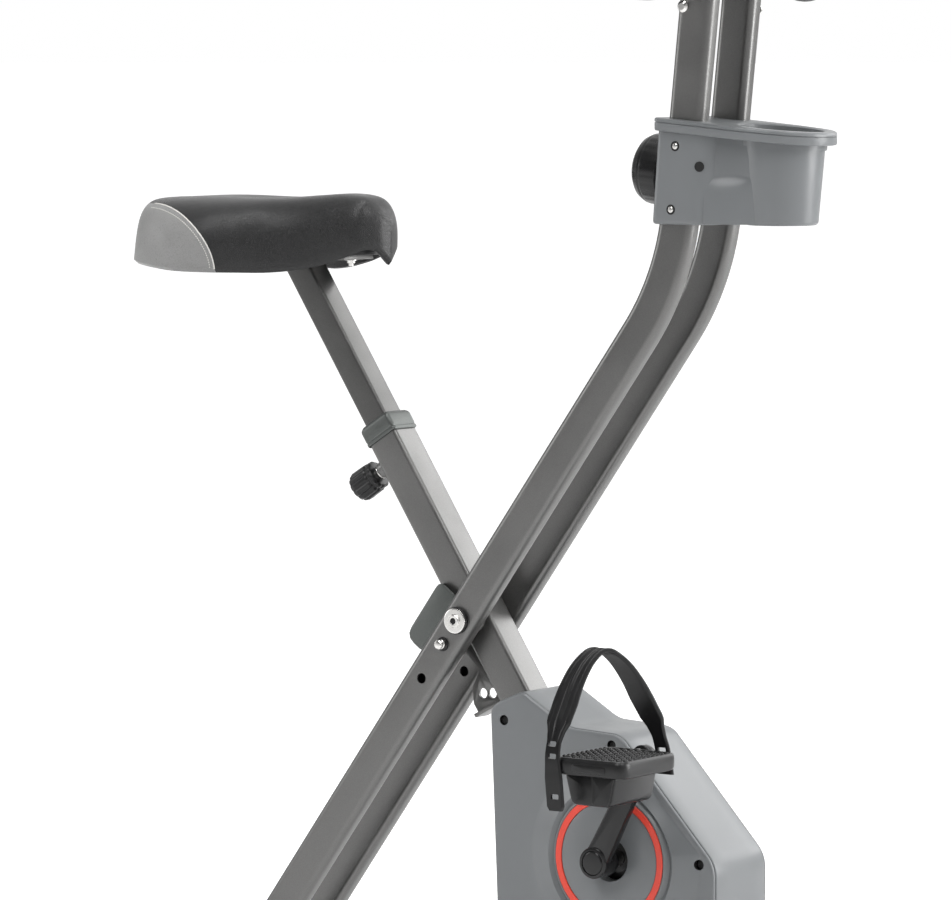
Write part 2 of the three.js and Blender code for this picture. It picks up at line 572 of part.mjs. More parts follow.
const cupHolder = () => {
  const plan = (corners, low, high) => new THREE.ExtrudeGeometry(roundedShape(corners, 4), {
    depth: high - low, bevelEnabled: false,
  }).translate(0, 0, low);
  const turned = (profile, sides) => new THREE.LatheGeometry(profile.map(([r, z]) => new THREE.Vector2(r,
    z)), sides)
    .rotateX(Math.PI / 2).translate(CUP_CENTRE, 0, 0);
  const top = RIM_TOP + 10;
  const bodyPlan = (inset) => [[HOLDER_REAR + inset, -HOLDER_HALF + inset, 4],
    [HOLDER_FRONT - inset, -HOLDER_HALF + inset, 22], [HOLDER_FRONT - inset, HOLDER_HALF - inset, 22],
    [HOLDER_REAR + inset, HOLDER_HALF - inset, 4]];
  const rimShape = new THREE.Shape();
  rimShape.moveTo(HOLDER_REAR + 4, -HOLDER_HALF - 4);
  rimShape.lineTo(CUP_CENTRE - 16, -HOLDER_HALF - 4);
  rimShape.absarc(CUP_CENTRE, 0, RIM_RADIUS, -Math.PI / 2 + 0.12, Math.PI / 2 - 0.12);
  rimShape.lineTo(CUP_CENTRE - 16, HOLDER_HALF + 4);
  rimShape.lineTo(HOLDER_REAR + 4, HOLDER_HALF + 4);
  const rim = slopeRim(new THREE.ExtrudeGeometry(rimShape, { depth: RIM_HEIGHT, bevelEnabled: false,
    curveSegments: 12 })
    .translate(0, 0, RIM_TOP - RIM_HEIGHT));
  const aboveRim = slopeRim(block([0, -200, RIM_TOP - 0.2], [600, 200, RIM_TOP + 200]));
  const underTop = slopeRim(block([HOLDER_REAR + 4, -22, 300], [HOLDER_FRONT - 4, 22, RIM_TOP - 4]));
  const taper = (CUP_TOP_RADIUS - CUP_LOW_RADIUS) / (RIM_TOP - HOLDER_LOW);
  const reach = (z) => CUP_LOW_RADIUS + taper * (z - HOLDER_LOW);
  const cup = turned([[0, HOLDER_LOW], [CUP_LOW_RADIUS, HOLDER_LOW], [reach(top), top], [0, top]], 20);
  const inside = turned([[0, HOLDER_LOW + CUP_WALL], [CUP_LOW_RADIUS - CUP_WALL, HOLDER_LOW + CUP_WALL],
    [reach(top) - CUP_WALL, top], [0, top]], 20);
  const oval = new THREE.Shape(ovalPoints(TUBE_DEPTH + 2, TUBE_WIDTH + 1));
  const tubeHole = (y) => outOf(upperLine, new THREE.ExtrudeGeometry(oval, { depth: 140,
    bevelEnabled: false })
    .rotateZ(Math.PI / 2).translate(0, y, -200));
  const solid = cut(
    join(
      leanBack(plan(bodyPlan(0), HOLDER_LOW, top)),
      block([HOLDER_FRONT - 8, -34, HOLDER_LOW], [CUP_CENTRE, 34, top]),
      cup,
    ).subtract(toSolid(aboveRim)).add(toSolid(rim)),
    inside,
    tubeHole(TUBE_SPACING / 2),
    tubeHole(-TUBE_SPACING / 2),
    leanBack(underTop),
    outOf(upperLine, roundX(KNOB_SHAFT_RADIUS + 0.4, 0, KNOB_CENTRE, -60, -15, 16)),
  );
  put(bike, 'cup_holder', toGeometry(solid), greyPlastic);
};
const KNOB_CENTRE = -140;
const KNOB_SHAFT_RADIUS = 7;
const TENSION_KNOB_RADIUS = 36;
const tensionKnob = () => {
  const profile = [[0, 17], [KNOB_SHAFT_RADIUS, 17], [KNOB_SHAFT_RADIUS, 31], [24, 31], [24, 36],
    [TENSION_KNOB_RADIUS - 2, 36],
    [TENSION_KNOB_RADIUS, 38], [TENSION_KNOB_RADIUS, 60], [TENSION_KNOB_RADIUS - 3, 64], [0, 64]];
  put(upperLine, 'tension_knob', new THREE.LatheGeometry(profile.map(([r, x]) => new THREE.Vector2(r, x)),
    18)
    .rotateZ(Math.PI / 2).translate(0, 0, KNOB_CENTRE), blackPlastic);
};

// ---- housing and drive -----------------------------------------------------------------------------

const WALL = 3;
const housingOutline = (inset = 0) => [
  [41 + inset, -84 - inset, 18], [82, -67 - inset, 14], [138 - inset / 2, -100 - inset, 40],
  [203 - inset / 2, -103 - inset, 26], [317 - inset, -226 - inset / 2, 36], [317 - inset, -418 + inset, 48],
  [55 + inset, -418 + inset, 90],
];
const legPassage = () => block([-LEG_SIZE / 2 - 0.5, -LEG_SIZE / 2 - 0.5, -600],
  [LEG_SIZE / 2 + 0.5, LEG_SIZE / 2 + 0.5, 300]).applyMatrix4(seatLine.matrix);

const housing = () => {
  put(bike, 'housing_band', toGeometry(cut(
    toSolid(slab(housingOutline(), -HOUSING_HALF, HOUSING_HALF)),
    slab(housingOutline(WALL), -HOUSING_HALF - 1, HOUSING_HALF + 1),
    legPassage(),
  )), greyPlastic);
  bothSides((side, sign) => {
    const face = HOUSING_HALF + 4;
    const { x, z } = CRANK_AXLE;
    const dome = [[0, face - 2], [100, face - 2], [98, face], [72, DISC_FACE + 1], [68, DISC_FACE + 1],
      [66, DISC_FACE],
      [0, DISC_FACE]];
    const hollow = [[0, HOUSING_HALF - 5], [96, HOUSING_HALF - 5], [96, face - 3], [70, DISC_FACE - WALL],
      [0, DISC_FACE - WALL]];
    const ringSeat = [[RING_INNER - 0.3, DISC_FACE - 1.2], [RING_OUTER + 0.3, DISC_FACE - 1.2],
      [RING_OUTER + 0.3, DISC_FACE + 2], [RING_INNER - 0.3, DISC_FACE + 2], [RING_INNER - 0.3,
        DISC_FACE - 1.2]];
    const cover = cut(
      toSolid(sideSlab(housingOutline(1), sign, HOUSING_HALF + GAP, face)).add(toSolid(sideTurned(dome, x,
        z, sign, 28))),
      sideTurned(hollow, x, z, sign, 20),
      sideTurned(ringSeat, x, z, sign, 28),
      sideRound(22, x, z, sign, 30, 80, 20),
    );
    put(bike, `housing_${side}`, toGeometry(cover), greyPlastic);
    put(bike, `ring_${side}`, sideTurned([[RING_INNER, DISC_FACE - 0.9], [RING_OUTER, DISC_FACE - 0.9],
      [RING_OUTER, DISC_FACE + 0.6], [RING_INNER, DISC_FACE + 0.6], [RING_INNER, DISC_FACE - 0.9]], x, z,
        sign, 28), redPlastic);
  });
};

const AXLE_RADIUS = 8.5;
const DISC_FACE = 60;
const BELT_INNER = 25;
const BELT_OUTER = 35;
const PULLEY_FACE = -SHELL_HALF - 1;
const PULLEY_BACK = PULLEY_FACE - 4;
const crankSet = () => {
  const { x, z } = CRANK_AXLE;
  put(bike, 'crank_axle', roundY(AXLE_RADIUS, x, z, -86, 86, 20), zinc);
  const bore = AXLE_RADIUS + GAP;
  put(bike, 'drive_pulley', turnedY([[bore, PULLEY_BACK - 5], [15, PULLEY_BACK - 5], [15, PULLEY_BACK],
    [PULLEY_RADIUS, PULLEY_BACK], [PULLEY_RADIUS, PULLEY_FACE], [bore, PULLEY_FACE], [bore,
      PULLEY_BACK - 5]],
  x, z, 24), blackPlastic);
  bothSides((side, sign) => {
    const turn = sign < 0 ? CRANK_ANGLE : CRANK_ANGLE + Math.PI;
    const tip = { x: CRANK_LENGTH * Math.cos(turn), z: CRANK_LENGTH * Math.sin(turn) };
    const arm = new THREE.ExtrudeGeometry(roundedShape([[-13, -15, 12], [CRANK_LENGTH + 11, -11, 10],
      [CRANK_LENGTH + 11, 11, 10], [-13, 15, 12]], 3), { depth: 12, bevelEnabled: false })
      .rotateX(Math.PI / 2).translate(0, 12, 0).rotateY(-turn).translate(0, sign > 0 ? 76 : -88, 0);
    const solid = cut(
      toSolid(arm).add(toSolid(sideRound(16, 0, 0, sign, 64, 88, 20))),
      sideRound(AXLE_RADIUS + 0.3, 0, 0, sign, 60, 86.5, 20),
      sideRound(6.5, tip.x, tip.z, sign, 60, 100, 16),
    );
    put(bike, `crank_${side}`, toGeometry(solid).translate(x, 0, z), blackPlastic);
    pedal(side, sign, { x: x + tip.x, z: z + tip.z });
  });
};

// A pedal hangs level on its spindle: a textured deck over a weighted body, with a toe strap whose
// outer leg sits further back than its inner leg.
const PEDAL_INNER = 98;
const PEDAL_OUTER = 196;
const STRAP_WIDTH = 30;
const STRAP_THICK = 3;
const STRAP_SKEW = 0.62;
const STRAP_RAKE = 0.09;
const pedal = (side, sign, place) => {
  const middle = (PEDAL_INNER + PEDAL_OUTER) / 2;
  const body = [[-42, -13, 8], [42, -13, 8], [42, 13, 5], [-42, 13, 5]];
  const weight = [[-30, -13, 0], [-22, -40, 10], [24, -40, 10], [30, -13, 0]];
  const solid = toSolid(sideSlab(body, sign, PEDAL_INNER, PEDAL_OUTER, 3))
    .add(toSolid(sideSlab(weight, sign, PEDAL_INNER + 8, PEDAL_OUTER - 16, 3)))
    .add(toSolid(sideRound(6, 0, 0, sign, 77, PEDAL_INNER + 2, 16)));
  put(bike, `pedal_${side}`, toGeometry(solid).translate(place.x, 0, place.z), blackPlastic);
  const half = (PEDAL_OUTER - PEDAL_INNER) / 2 + 0.6;
  const loop = (offset) => {
    const curve = new THREE.CatmullRomCurve3([[half, -44], [half, -10], [half, 32], [28, 82], [14, 104],
      [0, 111],
      [-14, 104], [-28, 82], [-half, 32], [-half, -10], [-half, -44]].map(([y, z]) => new THREE.Vector3(
      Math.abs(y) < 1 ? 0 : y + Math.sign(y) * offset, z + (z > 90 ? offset : 0), 0)), false, 'centripetal');
    return curve.getPoints(20).map(({ x, y }) => new THREE.Vector2(x, y));
  };
  const band = new THREE.Shape([...loop(STRAP_THICK), ...loop(0).reverse()]);
  const across = new THREE.Matrix4().makeBasis(
    new THREE.Vector3(0, 1, 0), new THREE.Vector3(0, 0, 1), new THREE.Vector3(1, 0, 0));
  const skew = new THREE.Matrix4().makeShear(0, 0, -sign * STRAP_SKEW, 0, -STRAP_RAKE, 0);
  const strap = new THREE.ExtrudeGeometry(band, { depth: STRAP_WIDTH, bevelEnabled: false })
    .translate(0, 0, -STRAP_WIDTH / 2).applyMatrix4(across).applyMatrix4(skew)
    .translate(place.x, sign * middle, place.z);
  put(bike, `strap_${side}`, strap, rubber);
};

const FLYWHEEL_NEAR = 25;
const FLYWHEEL_FAR = 42.5;
const FLYWHEEL_AXLE_RADIUS = 5;
const flywheelSet = () => {
  const { x, z } = FLYWHEEL_AXLE;
  const bore = FLYWHEEL_AXLE_RADIUS + 0.5;
  put(bike, 'flywheel_axle', roundY(FLYWHEEL_AXLE_RADIUS, x, z, -42, FLYWHEEL_FAR + 1, 16), zinc);
  const axle = new THREE.Vector3(x, 0, z).applyMatrix4(seatLine.matrix.clone().invert());
  const root = -LEG_SIZE / 2 - GAP;
  put(seatLine, 'flywheel_bracket', carve(
    slab([[root, axle.z - 30, 0], [root, axle.z + 30, 0], [axle.x - 13, axle.z + 12, 8], [axle.x - 13,
      axle.z - 12, 8]],
      -15, 15),
    roundY(FLYWHEEL_AXLE_RADIUS + GAP, axle.x, axle.z, -20, 20, 16),
  ), framePaint);
  put(bike, 'flywheel', turnedY([[bore, 20], [14, 20], [14, FLYWHEEL_NEAR], [FLYWHEEL_RADIUS, FLYWHEEL_NEAR],
    [FLYWHEEL_RADIUS, FLYWHEEL_FAR], [bore, FLYWHEEL_FAR], [bore, 20]], x, z, 28), castIron);
  put(bike, 'flywheel_pinion', turnedY([[bore, PULLEY_BACK - 2], [PINION_RADIUS, PULLEY_BACK - 2],
    [PINION_RADIUS, PULLEY_FACE + 8], [bore, PULLEY_FACE + 8], [bore, PULLEY_BACK - 2]], x, z, 14),
      blackPlastic);
};

// The flat belt runs round the pulley and the pinion on their outer tangents.
const driveBelt = () => {
  const run = new THREE.Vector2(FLYWHEEL_AXLE.x - CRANK_AXLE.x, FLYWHEEL_AXLE.z - CRANK_AXLE.z);
  const heading = run.angle();
  const spread = Math.acos((PULLEY_RADIUS - PINION_RADIUS) / run.length());
  const loop = (lift) => {
    const shape = new THREE.Shape();
    shape.absarc(CRANK_AXLE.x, CRANK_AXLE.z, PULLEY_RADIUS + lift, heading + spread,
      heading - spread + 2 * Math.PI);
    shape.absarc(FLYWHEEL_AXLE.x, FLYWHEEL_AXLE.z, PINION_RADIUS + lift, heading - spread, heading + spread);
    return shape;
  };
  const belt = loop(2.4);
  belt.holes.push(new THREE.Path(loop(1.2).getPoints(16).reverse()));
  put(bike, 'drive_belt', new THREE.ExtrudeGeometry(belt, { depth: 3.4, bevelEnabled: false,
    curveSegments: 16 })
    .rotateX(Math.PI / 2).translate(0, PULLEY_FACE - 0.3, 0), rubber);
};

// The magnet shoe swings on a pin beside the leg and closes on the flywheel's rim.
const SHOE_PIVOT = { x: 158, z: -240 };
const SHOE_SWING = 8 * RAD;
const SHOE_GAP = 2;
const magnetShoe = () => {
  const inner = FLYWHEEL_RADIUS + SHOE_GAP;
  const arc = (radius, from, to) => Array.from({ length: 7 }, (_, step) => {
    const angle = from + ((to - from) * step) / 6;
    return [FLYWHEEL_AXLE.x + radius * Math.cos(angle), FLYWHEEL_AXLE.z + radius * Math.sin(angle), 0];
  });
  const shoe = slab([...arc(inner, 98 * RAD, 152 * RAD), ...arc(inner + 8, 152 * RAD, 98 * RAD)],
    FLYWHEEL_NEAR - 1, FLYWHEEL_FAR - 1);
  const solid = join(
    shoe,
    roundY(8, SHOE_PIVOT.x, SHOE_PIVOT.z, FLYWHEEL_NEAR - 1, FLYWHEEL_FAR - 1, 16),
    roundY(4, SHOE_PIVOT.x, SHOE_PIVOT.z, LEG_SIZE / 2 + GAP, FLYWHEEL_FAR - 1, 12),
  );
  const geometry = toGeometry(solid).translate(-SHOE_PIVOT.x, 0, -SHOE_PIVOT.z).rotateY(SHOE_SWING)
    .translate(SHOE_PIVOT.x, 0, SHOE_PIVOT.z);
  put(bike, 'magnet_shoe', geometry, castIron);
};

// ---- seat ------------------------------------------------------------------------------------------

const POST_LOW = 118;
const POST_HIGH = 412;
const SADDLE_REAR = -412;
const SADDLE_NOSE = -127;
const SKIRT_LOW = 356.5;
const PLATE_LOW = 366;
const PLATE_HIGH = 371;
const SHELL_HIGH = 381;
const POST_HOLE_STEP = 20;
const seatPost = () => {
  const outer = POST_SIZE / 2;
  const inner = outer - POST_WALL;
  const holes = Array.from({ length: 8 }, (_, index) => roundX(
    4.2, 0, KNOB_ALONG - 60 + POST_HOLE_STEP * index, -outer - 1, -inner + 1, 10));
  put(seatLine, 'seat_post', carve(
    block([-outer, -outer, POST_LOW], [outer, outer, POST_HIGH]),
    block([-inner, -inner, POST_LOW - 1], [inner, inner, POST_HIGH + 1]),
    into(seatLine, block([-400, -40, PLATE_LOW - GAP], [0, 40, PLATE_LOW + 90])),
    ...holes,
  ), postPaint);
};

const seatPlate = () => put(bike, 'seat_plate', slab([[-282, PLATE_LOW, 0], [-162, PLATE_LOW, 0],
  [-162, PLATE_HIGH, 0], [-282, PLATE_HIGH, 0]], -26, 26), framePaint);

// The saddle's outline seen from above, drawn in from its edge by an inset.
const SADDLE_LENGTH = SADDLE_NOSE - SADDLE_REAR;
const saddlePlan = (inset) => {
  const half = new THREE.SplineCurve([[0, 0], [0.03, 0.6], [0.12, 0.92], [0.26, 1], [0.42, 0.86], [0.58,
    0.58],
    [0.74, 0.42], [0.88, 0.36], [0.96, 0.25], [1, 0]].map(([along, across]) => new THREE.Vector2(
    SADDLE_REAR + SADDLE_LENGTH * along, SADDLE_HALF * across))).getPoints(14);
  const middle = new THREE.Vector2(SADDLE_REAR + SADDLE_LENGTH * 0.45, 0);
  const factor = new THREE.Vector2(1 - (2 * inset) / SADDLE_LENGTH, 1 - inset / SADDLE_HALF);
  const side = half.map((point) => point.clone().sub(middle).multiply(factor).add(middle));
  const other = side.slice(1, -1).reverse().map(({ x, y }) => new THREE.Vector2(x, -y));
  return new THREE.Shape([...side, ...other]);
};
const SADDLE_HALF = 108;
const SHELL_INSET = 12;

const saddle = () => {
  const column = (inset, low, high) => new THREE.ExtrudeGeometry(saddlePlan(inset), {
    depth: high - low, bevelEnabled: false,
  }).translate(0, 0, low);
  put(bike, 'saddle_shell', column(SHELL_INSET + GAP, PLATE_HIGH + GAP, SHELL_HIGH), blackPlastic);
  const top = new THREE.SplineCurve([[0, 406], [0.02, 420], [0.09, 428], [0.25, 430], [0.5, 430.5], [0.7,
    434],
    [0.81, 435.5], [0.9, 431], [0.97, 416], [1, 398]].map(([along, z]) => new THREE.Vector2(
    SADDLE_REAR + SADDLE_LENGTH * along, z))).getPoints(14);
  const low = [[1, 368], [0.86, 371], [0.6, SKIRT_LOW], [0.2, SKIRT_LOW + 2], [0,
    SKIRT_LOW + 5]].map(([along, z]) => (
    new THREE.Vector2(SADDLE_REAR + SADDLE_LENGTH * along, z)));
  const side = new THREE.ExtrudeGeometry(new THREE.Shape([...top, ...low]), { depth: 240,
    bevelEnabled: false })
    .rotateX(Math.PI / 2).translate(0, 120, 0);
  const pad = toSolid(column(0, SKIRT_LOW - 10, 460)).intersect(toSolid(side));
  put(bike, 'saddle_pad', toGeometry(cut(pad, column(SHELL_INSET, SKIRT_LOW - 20, SHELL_HIGH + GAP))),
    leather);
};

const seatKnob = () => {
  const profile = [[0, 16], [4.6, 16], [4.6, 31.6], [9.5, 31.6], [9.5, 34], [17, 36], [18, 40], [18, 66],
    [14, 71],
    [0, 73]];
  put(seatLine, 'seat_knob', new THREE.LatheGeometry(profile.map(([r, x]) => new THREE.Vector2(r, x)), 14)
    .rotateZ(Math.PI / 2).translate(0, 0, KNOB_ALONG), blackPlastic);
};

// ---- the whole bike --------------------------------------------------------------------------------

legTube();
collar();
lockBracket();
footBars();
transportWheels();
bottomBracket();
twinTubes();
stopBracket();
pivotBolt();
foldLock();
headBracket();
handlebar();
consoleUnit();
cupHolder();
tensionKnob();
housing();
crankSet();
flywheelSet();
driveBelt();
magnetShoe();
seatPost();
seatPlate();
saddle();
seatKnob();

export default bike;
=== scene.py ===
"""A folding upright exercise bike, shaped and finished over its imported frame.

Lengths are in metres, +Z is up, +X is the way the rider faces and +Y is the rider's left. The bike's
own dimensions are given in millimetres from the pivot bolt, as a frame builder would draw them, and
`Layout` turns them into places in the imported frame.
"""
import json
import logging
import math
from dataclasses import dataclass, field
from enum import Enum
from typing import Callable, Sequence

import bmesh
import bpy
import numpy as np
from mathutils import Vector
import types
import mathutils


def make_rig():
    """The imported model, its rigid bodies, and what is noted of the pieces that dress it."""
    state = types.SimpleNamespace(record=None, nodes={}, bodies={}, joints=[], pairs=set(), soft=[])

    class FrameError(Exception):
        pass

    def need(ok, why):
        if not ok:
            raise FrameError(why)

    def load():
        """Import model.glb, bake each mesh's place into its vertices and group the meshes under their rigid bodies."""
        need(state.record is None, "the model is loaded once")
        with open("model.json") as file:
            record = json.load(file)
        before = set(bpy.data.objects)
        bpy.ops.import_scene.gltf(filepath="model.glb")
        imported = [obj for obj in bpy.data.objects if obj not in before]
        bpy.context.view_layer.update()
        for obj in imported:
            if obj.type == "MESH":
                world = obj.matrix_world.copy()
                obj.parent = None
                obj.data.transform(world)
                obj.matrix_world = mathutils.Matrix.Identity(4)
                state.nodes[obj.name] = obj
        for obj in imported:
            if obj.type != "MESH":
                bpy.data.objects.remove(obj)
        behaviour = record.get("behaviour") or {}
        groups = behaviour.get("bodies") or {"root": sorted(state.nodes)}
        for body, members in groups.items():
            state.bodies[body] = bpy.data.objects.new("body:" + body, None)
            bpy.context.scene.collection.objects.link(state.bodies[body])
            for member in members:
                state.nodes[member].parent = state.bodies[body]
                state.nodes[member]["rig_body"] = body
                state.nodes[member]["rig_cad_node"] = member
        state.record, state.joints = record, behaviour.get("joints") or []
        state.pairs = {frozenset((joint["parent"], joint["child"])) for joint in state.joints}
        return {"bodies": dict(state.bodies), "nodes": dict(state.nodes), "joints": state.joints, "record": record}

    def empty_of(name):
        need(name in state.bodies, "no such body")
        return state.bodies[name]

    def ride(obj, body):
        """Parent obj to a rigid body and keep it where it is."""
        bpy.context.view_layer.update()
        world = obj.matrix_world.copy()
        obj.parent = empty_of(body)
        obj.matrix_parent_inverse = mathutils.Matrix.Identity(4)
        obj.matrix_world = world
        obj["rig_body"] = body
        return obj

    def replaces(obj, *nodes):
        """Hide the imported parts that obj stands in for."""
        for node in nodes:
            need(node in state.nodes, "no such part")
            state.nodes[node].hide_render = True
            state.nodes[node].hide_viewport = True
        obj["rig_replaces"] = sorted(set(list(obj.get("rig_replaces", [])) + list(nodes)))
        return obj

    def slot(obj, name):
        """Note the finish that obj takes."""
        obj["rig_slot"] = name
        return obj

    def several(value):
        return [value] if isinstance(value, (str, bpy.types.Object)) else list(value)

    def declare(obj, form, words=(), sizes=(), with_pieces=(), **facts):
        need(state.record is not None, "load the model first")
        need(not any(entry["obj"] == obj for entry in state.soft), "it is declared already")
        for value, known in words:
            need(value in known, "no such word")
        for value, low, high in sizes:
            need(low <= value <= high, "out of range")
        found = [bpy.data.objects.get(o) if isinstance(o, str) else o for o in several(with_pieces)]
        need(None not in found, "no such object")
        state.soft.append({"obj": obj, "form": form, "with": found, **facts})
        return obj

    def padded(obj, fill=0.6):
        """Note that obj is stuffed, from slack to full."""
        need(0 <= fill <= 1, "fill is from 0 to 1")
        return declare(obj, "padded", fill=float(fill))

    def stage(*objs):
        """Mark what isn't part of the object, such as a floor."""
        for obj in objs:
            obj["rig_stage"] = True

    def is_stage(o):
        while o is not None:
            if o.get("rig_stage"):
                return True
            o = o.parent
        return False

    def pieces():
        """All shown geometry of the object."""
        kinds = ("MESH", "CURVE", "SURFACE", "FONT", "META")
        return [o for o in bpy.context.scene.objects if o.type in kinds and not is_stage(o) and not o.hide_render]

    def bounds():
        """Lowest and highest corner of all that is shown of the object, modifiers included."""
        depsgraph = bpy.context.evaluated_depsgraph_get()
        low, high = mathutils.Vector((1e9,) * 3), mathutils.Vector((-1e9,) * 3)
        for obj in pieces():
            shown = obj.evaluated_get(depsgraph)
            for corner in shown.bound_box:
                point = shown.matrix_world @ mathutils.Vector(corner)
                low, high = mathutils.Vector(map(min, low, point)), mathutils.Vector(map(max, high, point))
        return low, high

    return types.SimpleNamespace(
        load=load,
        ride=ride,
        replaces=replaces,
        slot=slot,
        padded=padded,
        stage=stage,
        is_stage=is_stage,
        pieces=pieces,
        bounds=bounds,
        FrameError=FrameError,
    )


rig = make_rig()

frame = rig.load()
CAD_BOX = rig.bounds()
SIZE_FILE = "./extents.json"

log = logging.getLogger("exercise_bike")
Array = np.ndarray
MM = 0.001
TAU = 2 * math.pi


class Side(Enum):
    """The rider's right and left, with the sign of Y on that side."""

    RIGHT = ("right", -1)
    LEFT = ("left", 1)

    @property
    def label(self) -> str:
        """The word used in piece names."""
        return self.value[0]

    @property
    def sign(self) -> int:
        """-1 on the right and +1 on the left."""
        return self.value[1]


# ---- places ----------------------------------------------------------------------------------------


@dataclass(frozen=True)
class Layout:
    """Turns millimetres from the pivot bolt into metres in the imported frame."""

    pivot: tuple[float, float, float]
    seat_lean: float = math.radians(33)
    tube_lean: float = math.radians(36)
    upper_lean: float = math.radians(6)

    @classmethod
    def from_frame(cls) -> "Layout":
        """Reads the pivot bolt's place from the fold joint."""
        fold = next(j for j in frame["joints"] if j["name"] == "frame_fold")
        return cls(pivot=tuple(fold["pos_m"]))

    def place(self, points: Array) -> Array:
        """Moves millimetre points about the pivot bolt to metres in the frame.

        Args:
            points: Any array whose last axis is X, Y and Z.

        Returns:
            An array of the same shape, in metres.
        """
        return np.asarray(points, float) * MM + np.array(self.pivot)

    def on_lean(self, lean: float, along: Array, ahead: Array = 0.0) -> Array:
        """Gives X and Z some way up a leaning line and some way in front of it.

        Args:
            lean: The line's lean forwards from upright, in radians.
            along: Distance up the line.
            ahead: Distance in front of the line.

        Returns:
            An array whose last axis is X and Z.
        """
        along, ahead = np.broadcast_arrays(np.asarray(along, float), np.asarray(ahead, float))
        x = along * math.sin(lean) + ahead * math.cos(lean)
        z = along * math.cos(lean) - ahead * math.sin(lean)
        return np.stack([x, z], axis=-1)

    def leaning(self, lean: float, origin: Sequence[float], points: Array) -> Array:
        """Turns points from a leaning line's own axes into the bike's.

        Args:
            lean: The line's lean forwards, in radians.
            origin: X and Z of the line's start.
            points: Points as (ahead, across, along).

        Returns:
            Points as (X, Y, Z) about the pivot bolt.
        """
        points = np.asarray(points, float)
        xz = self.on_lean(lean, points[..., 2], points[..., 0]) + np.asarray(origin, float)
        return np.stack([xz[..., 0], points[..., 1], xz[..., 1]], axis=-1)


LAYOUT = Layout.from_frame()


# ---- curves and surfaces ---------------------------------------------------------------------------


def rounded(corners: Sequence[Sequence[float]], steps: int = 6, closed: bool = True) -> Array:
    """Rounds the corners of an outline with one parabolic arc at each.

    An arc starts and ends at `rounding / tan(half the corner's angle)` from its corner.

    Args:
        corners: Rows of (u, v, rounding).
        steps: Stretches in each arc.
        closed: Whether the last corner joins the first.

    Returns:
        The outline's points, one row each.
    """
    data = np.asarray(corners, float)
    here = data[:, :2]
    before, after = np.roll(here, 1, 0) - here, np.roll(here, -1, 0) - here
    length_in = np.linalg.norm(before, axis=1, keepdims=True)
    length_out = np.linalg.norm(after, axis=1, keepdims=True)
    before, after = before / length_in, after / length_out
    half = np.arccos(np.clip((before * after).sum(1, keepdims=True), -1, 1)) / 2
    reach = data[:, 2:3] / np.maximum(np.tan(half), 1e-6)
    reach = np.minimum(reach, 0.49 * np.minimum(length_in, length_out))
    if not closed:
        reach[0] = reach[-1] = 0
    start, end = here + before * reach, here + after * reach
    t = np.linspace(0, 1, steps + 1)[None, :, None]
    arcs = (1 - t) ** 2 * start[:, None] + 2 * t * (1 - t) * here[:, None] + t**2 * end[:, None]
    points = arcs.reshape(-1, 2)
    keep = np.linalg.norm(points - np.roll(points, 1, 0), axis=1) > 1e-4
    keep[0] = True
    return points[keep]


def resampled(points: Array, count: int, closed: bool = False) -> Array:
    """Spreads points evenly along a line by its length."""
    line = np.vstack([points, points[:1]]) if closed else points
    run = np.concatenate([[0], np.cumsum(np.linalg.norm(np.diff(line, axis=0), axis=1))])
    where = np.linspace(0, run[-1], count, endpoint=not closed)
    return np.stack([np.interp(where, run, line[:, k]) for k in range(line.shape[1])], axis=-1)


def flowing(points: Sequence[Sequence[float]], count: int) -> Array:
    """Runs a Catmull-Rom curve through points.

    Args:
        points: The points that the curve passes through.
        count: How many points to give back, spread evenly by length.

    Returns:
        The curve's points.
    """
    knots = np.asarray(points, float)
    padded = np.vstack([2 * knots[0] - knots[1], knots, 2 * knots[-1] - knots[-2]])
    t = np.linspace(0, len(knots) - 1, 24 * len(knots))
    index = np.minimum(t.astype(int), len(knots) - 2)
    s = (t - index)[:, None]
    a, b, c, d = (padded[index + k] for k in range(4))
    curve = 0.5 * (2 * b + (c - a) * s + (2 * a - 5 * b + 4 * c - d) * s**2 + (3 * b - a - 3 * c + d) * s**3)
    return resampled(curve, count)


def oval(depth: float, width: float, corner: float, steps: int = 8) -> Array:
    """A rectangle with round corners, centred, as (ahead, across) points."""
    d, w = depth / 2, width / 2
    return rounded([(d, -w, corner), (d, w, corner), (-d, w, corner), (-d, -w, corner)], steps)


def ring(radius: float, sides: int = 48) -> Array:
    """A circle as (ahead, across) points."""
    turn = np.linspace(0, TAU, sides, endpoint=False)
    return radius * np.stack([np.cos(turn), np.sin(turn)], axis=-1)


def swept(section: Array, path: Array, across: Sequence[float] = (0, 1, 0)) -> Array:
    """Carries a section along a path without twist.

    Each ring is the path's point plus the section's first value along the path's normal and its second
    along the `across` direction, made square to the path.

    Args:
        section: Points (ahead, across), shaped (K, 2), or (N, K, 2) where it changes on the way.
        path: The path's points, shaped (N, 3).
        across: The direction the section's second value keeps to.

    Returns:
        A grid of points, shaped (N, K, 3).
    """
    tangent = np.gradient(path, axis=0)
    tangent /= np.linalg.norm(tangent, axis=1, keepdims=True)
    side = np.asarray(across, float) - tangent * (tangent @ np.asarray(across, float))[:, None]
    side /= np.linalg.norm(side, axis=1, keepdims=True)
    normal = np.cross(side, tangent)
    section = np.broadcast_to(section, (len(path),) + section.shape[-2:])
    return path[:, None] + section[..., :1] * normal[:, None] + section[..., 1:] * side[:, None]


def turned(profile: Sequence[Sequence[float]], sides: int = 48) -> Array:
    """Turns a profile of (radius, height) rows about Y: rings at radius, at Y equal to the height."""
    data = np.asarray(profile, float)
    circle = ring(1, sides)
    x = data[:, :1] * circle[None, :, 0]
    z = data[:, :1] * circle[None, :, 1]
    return np.stack([x, np.broadcast_to(data[:, 1:2], x.shape), z], axis=-1)


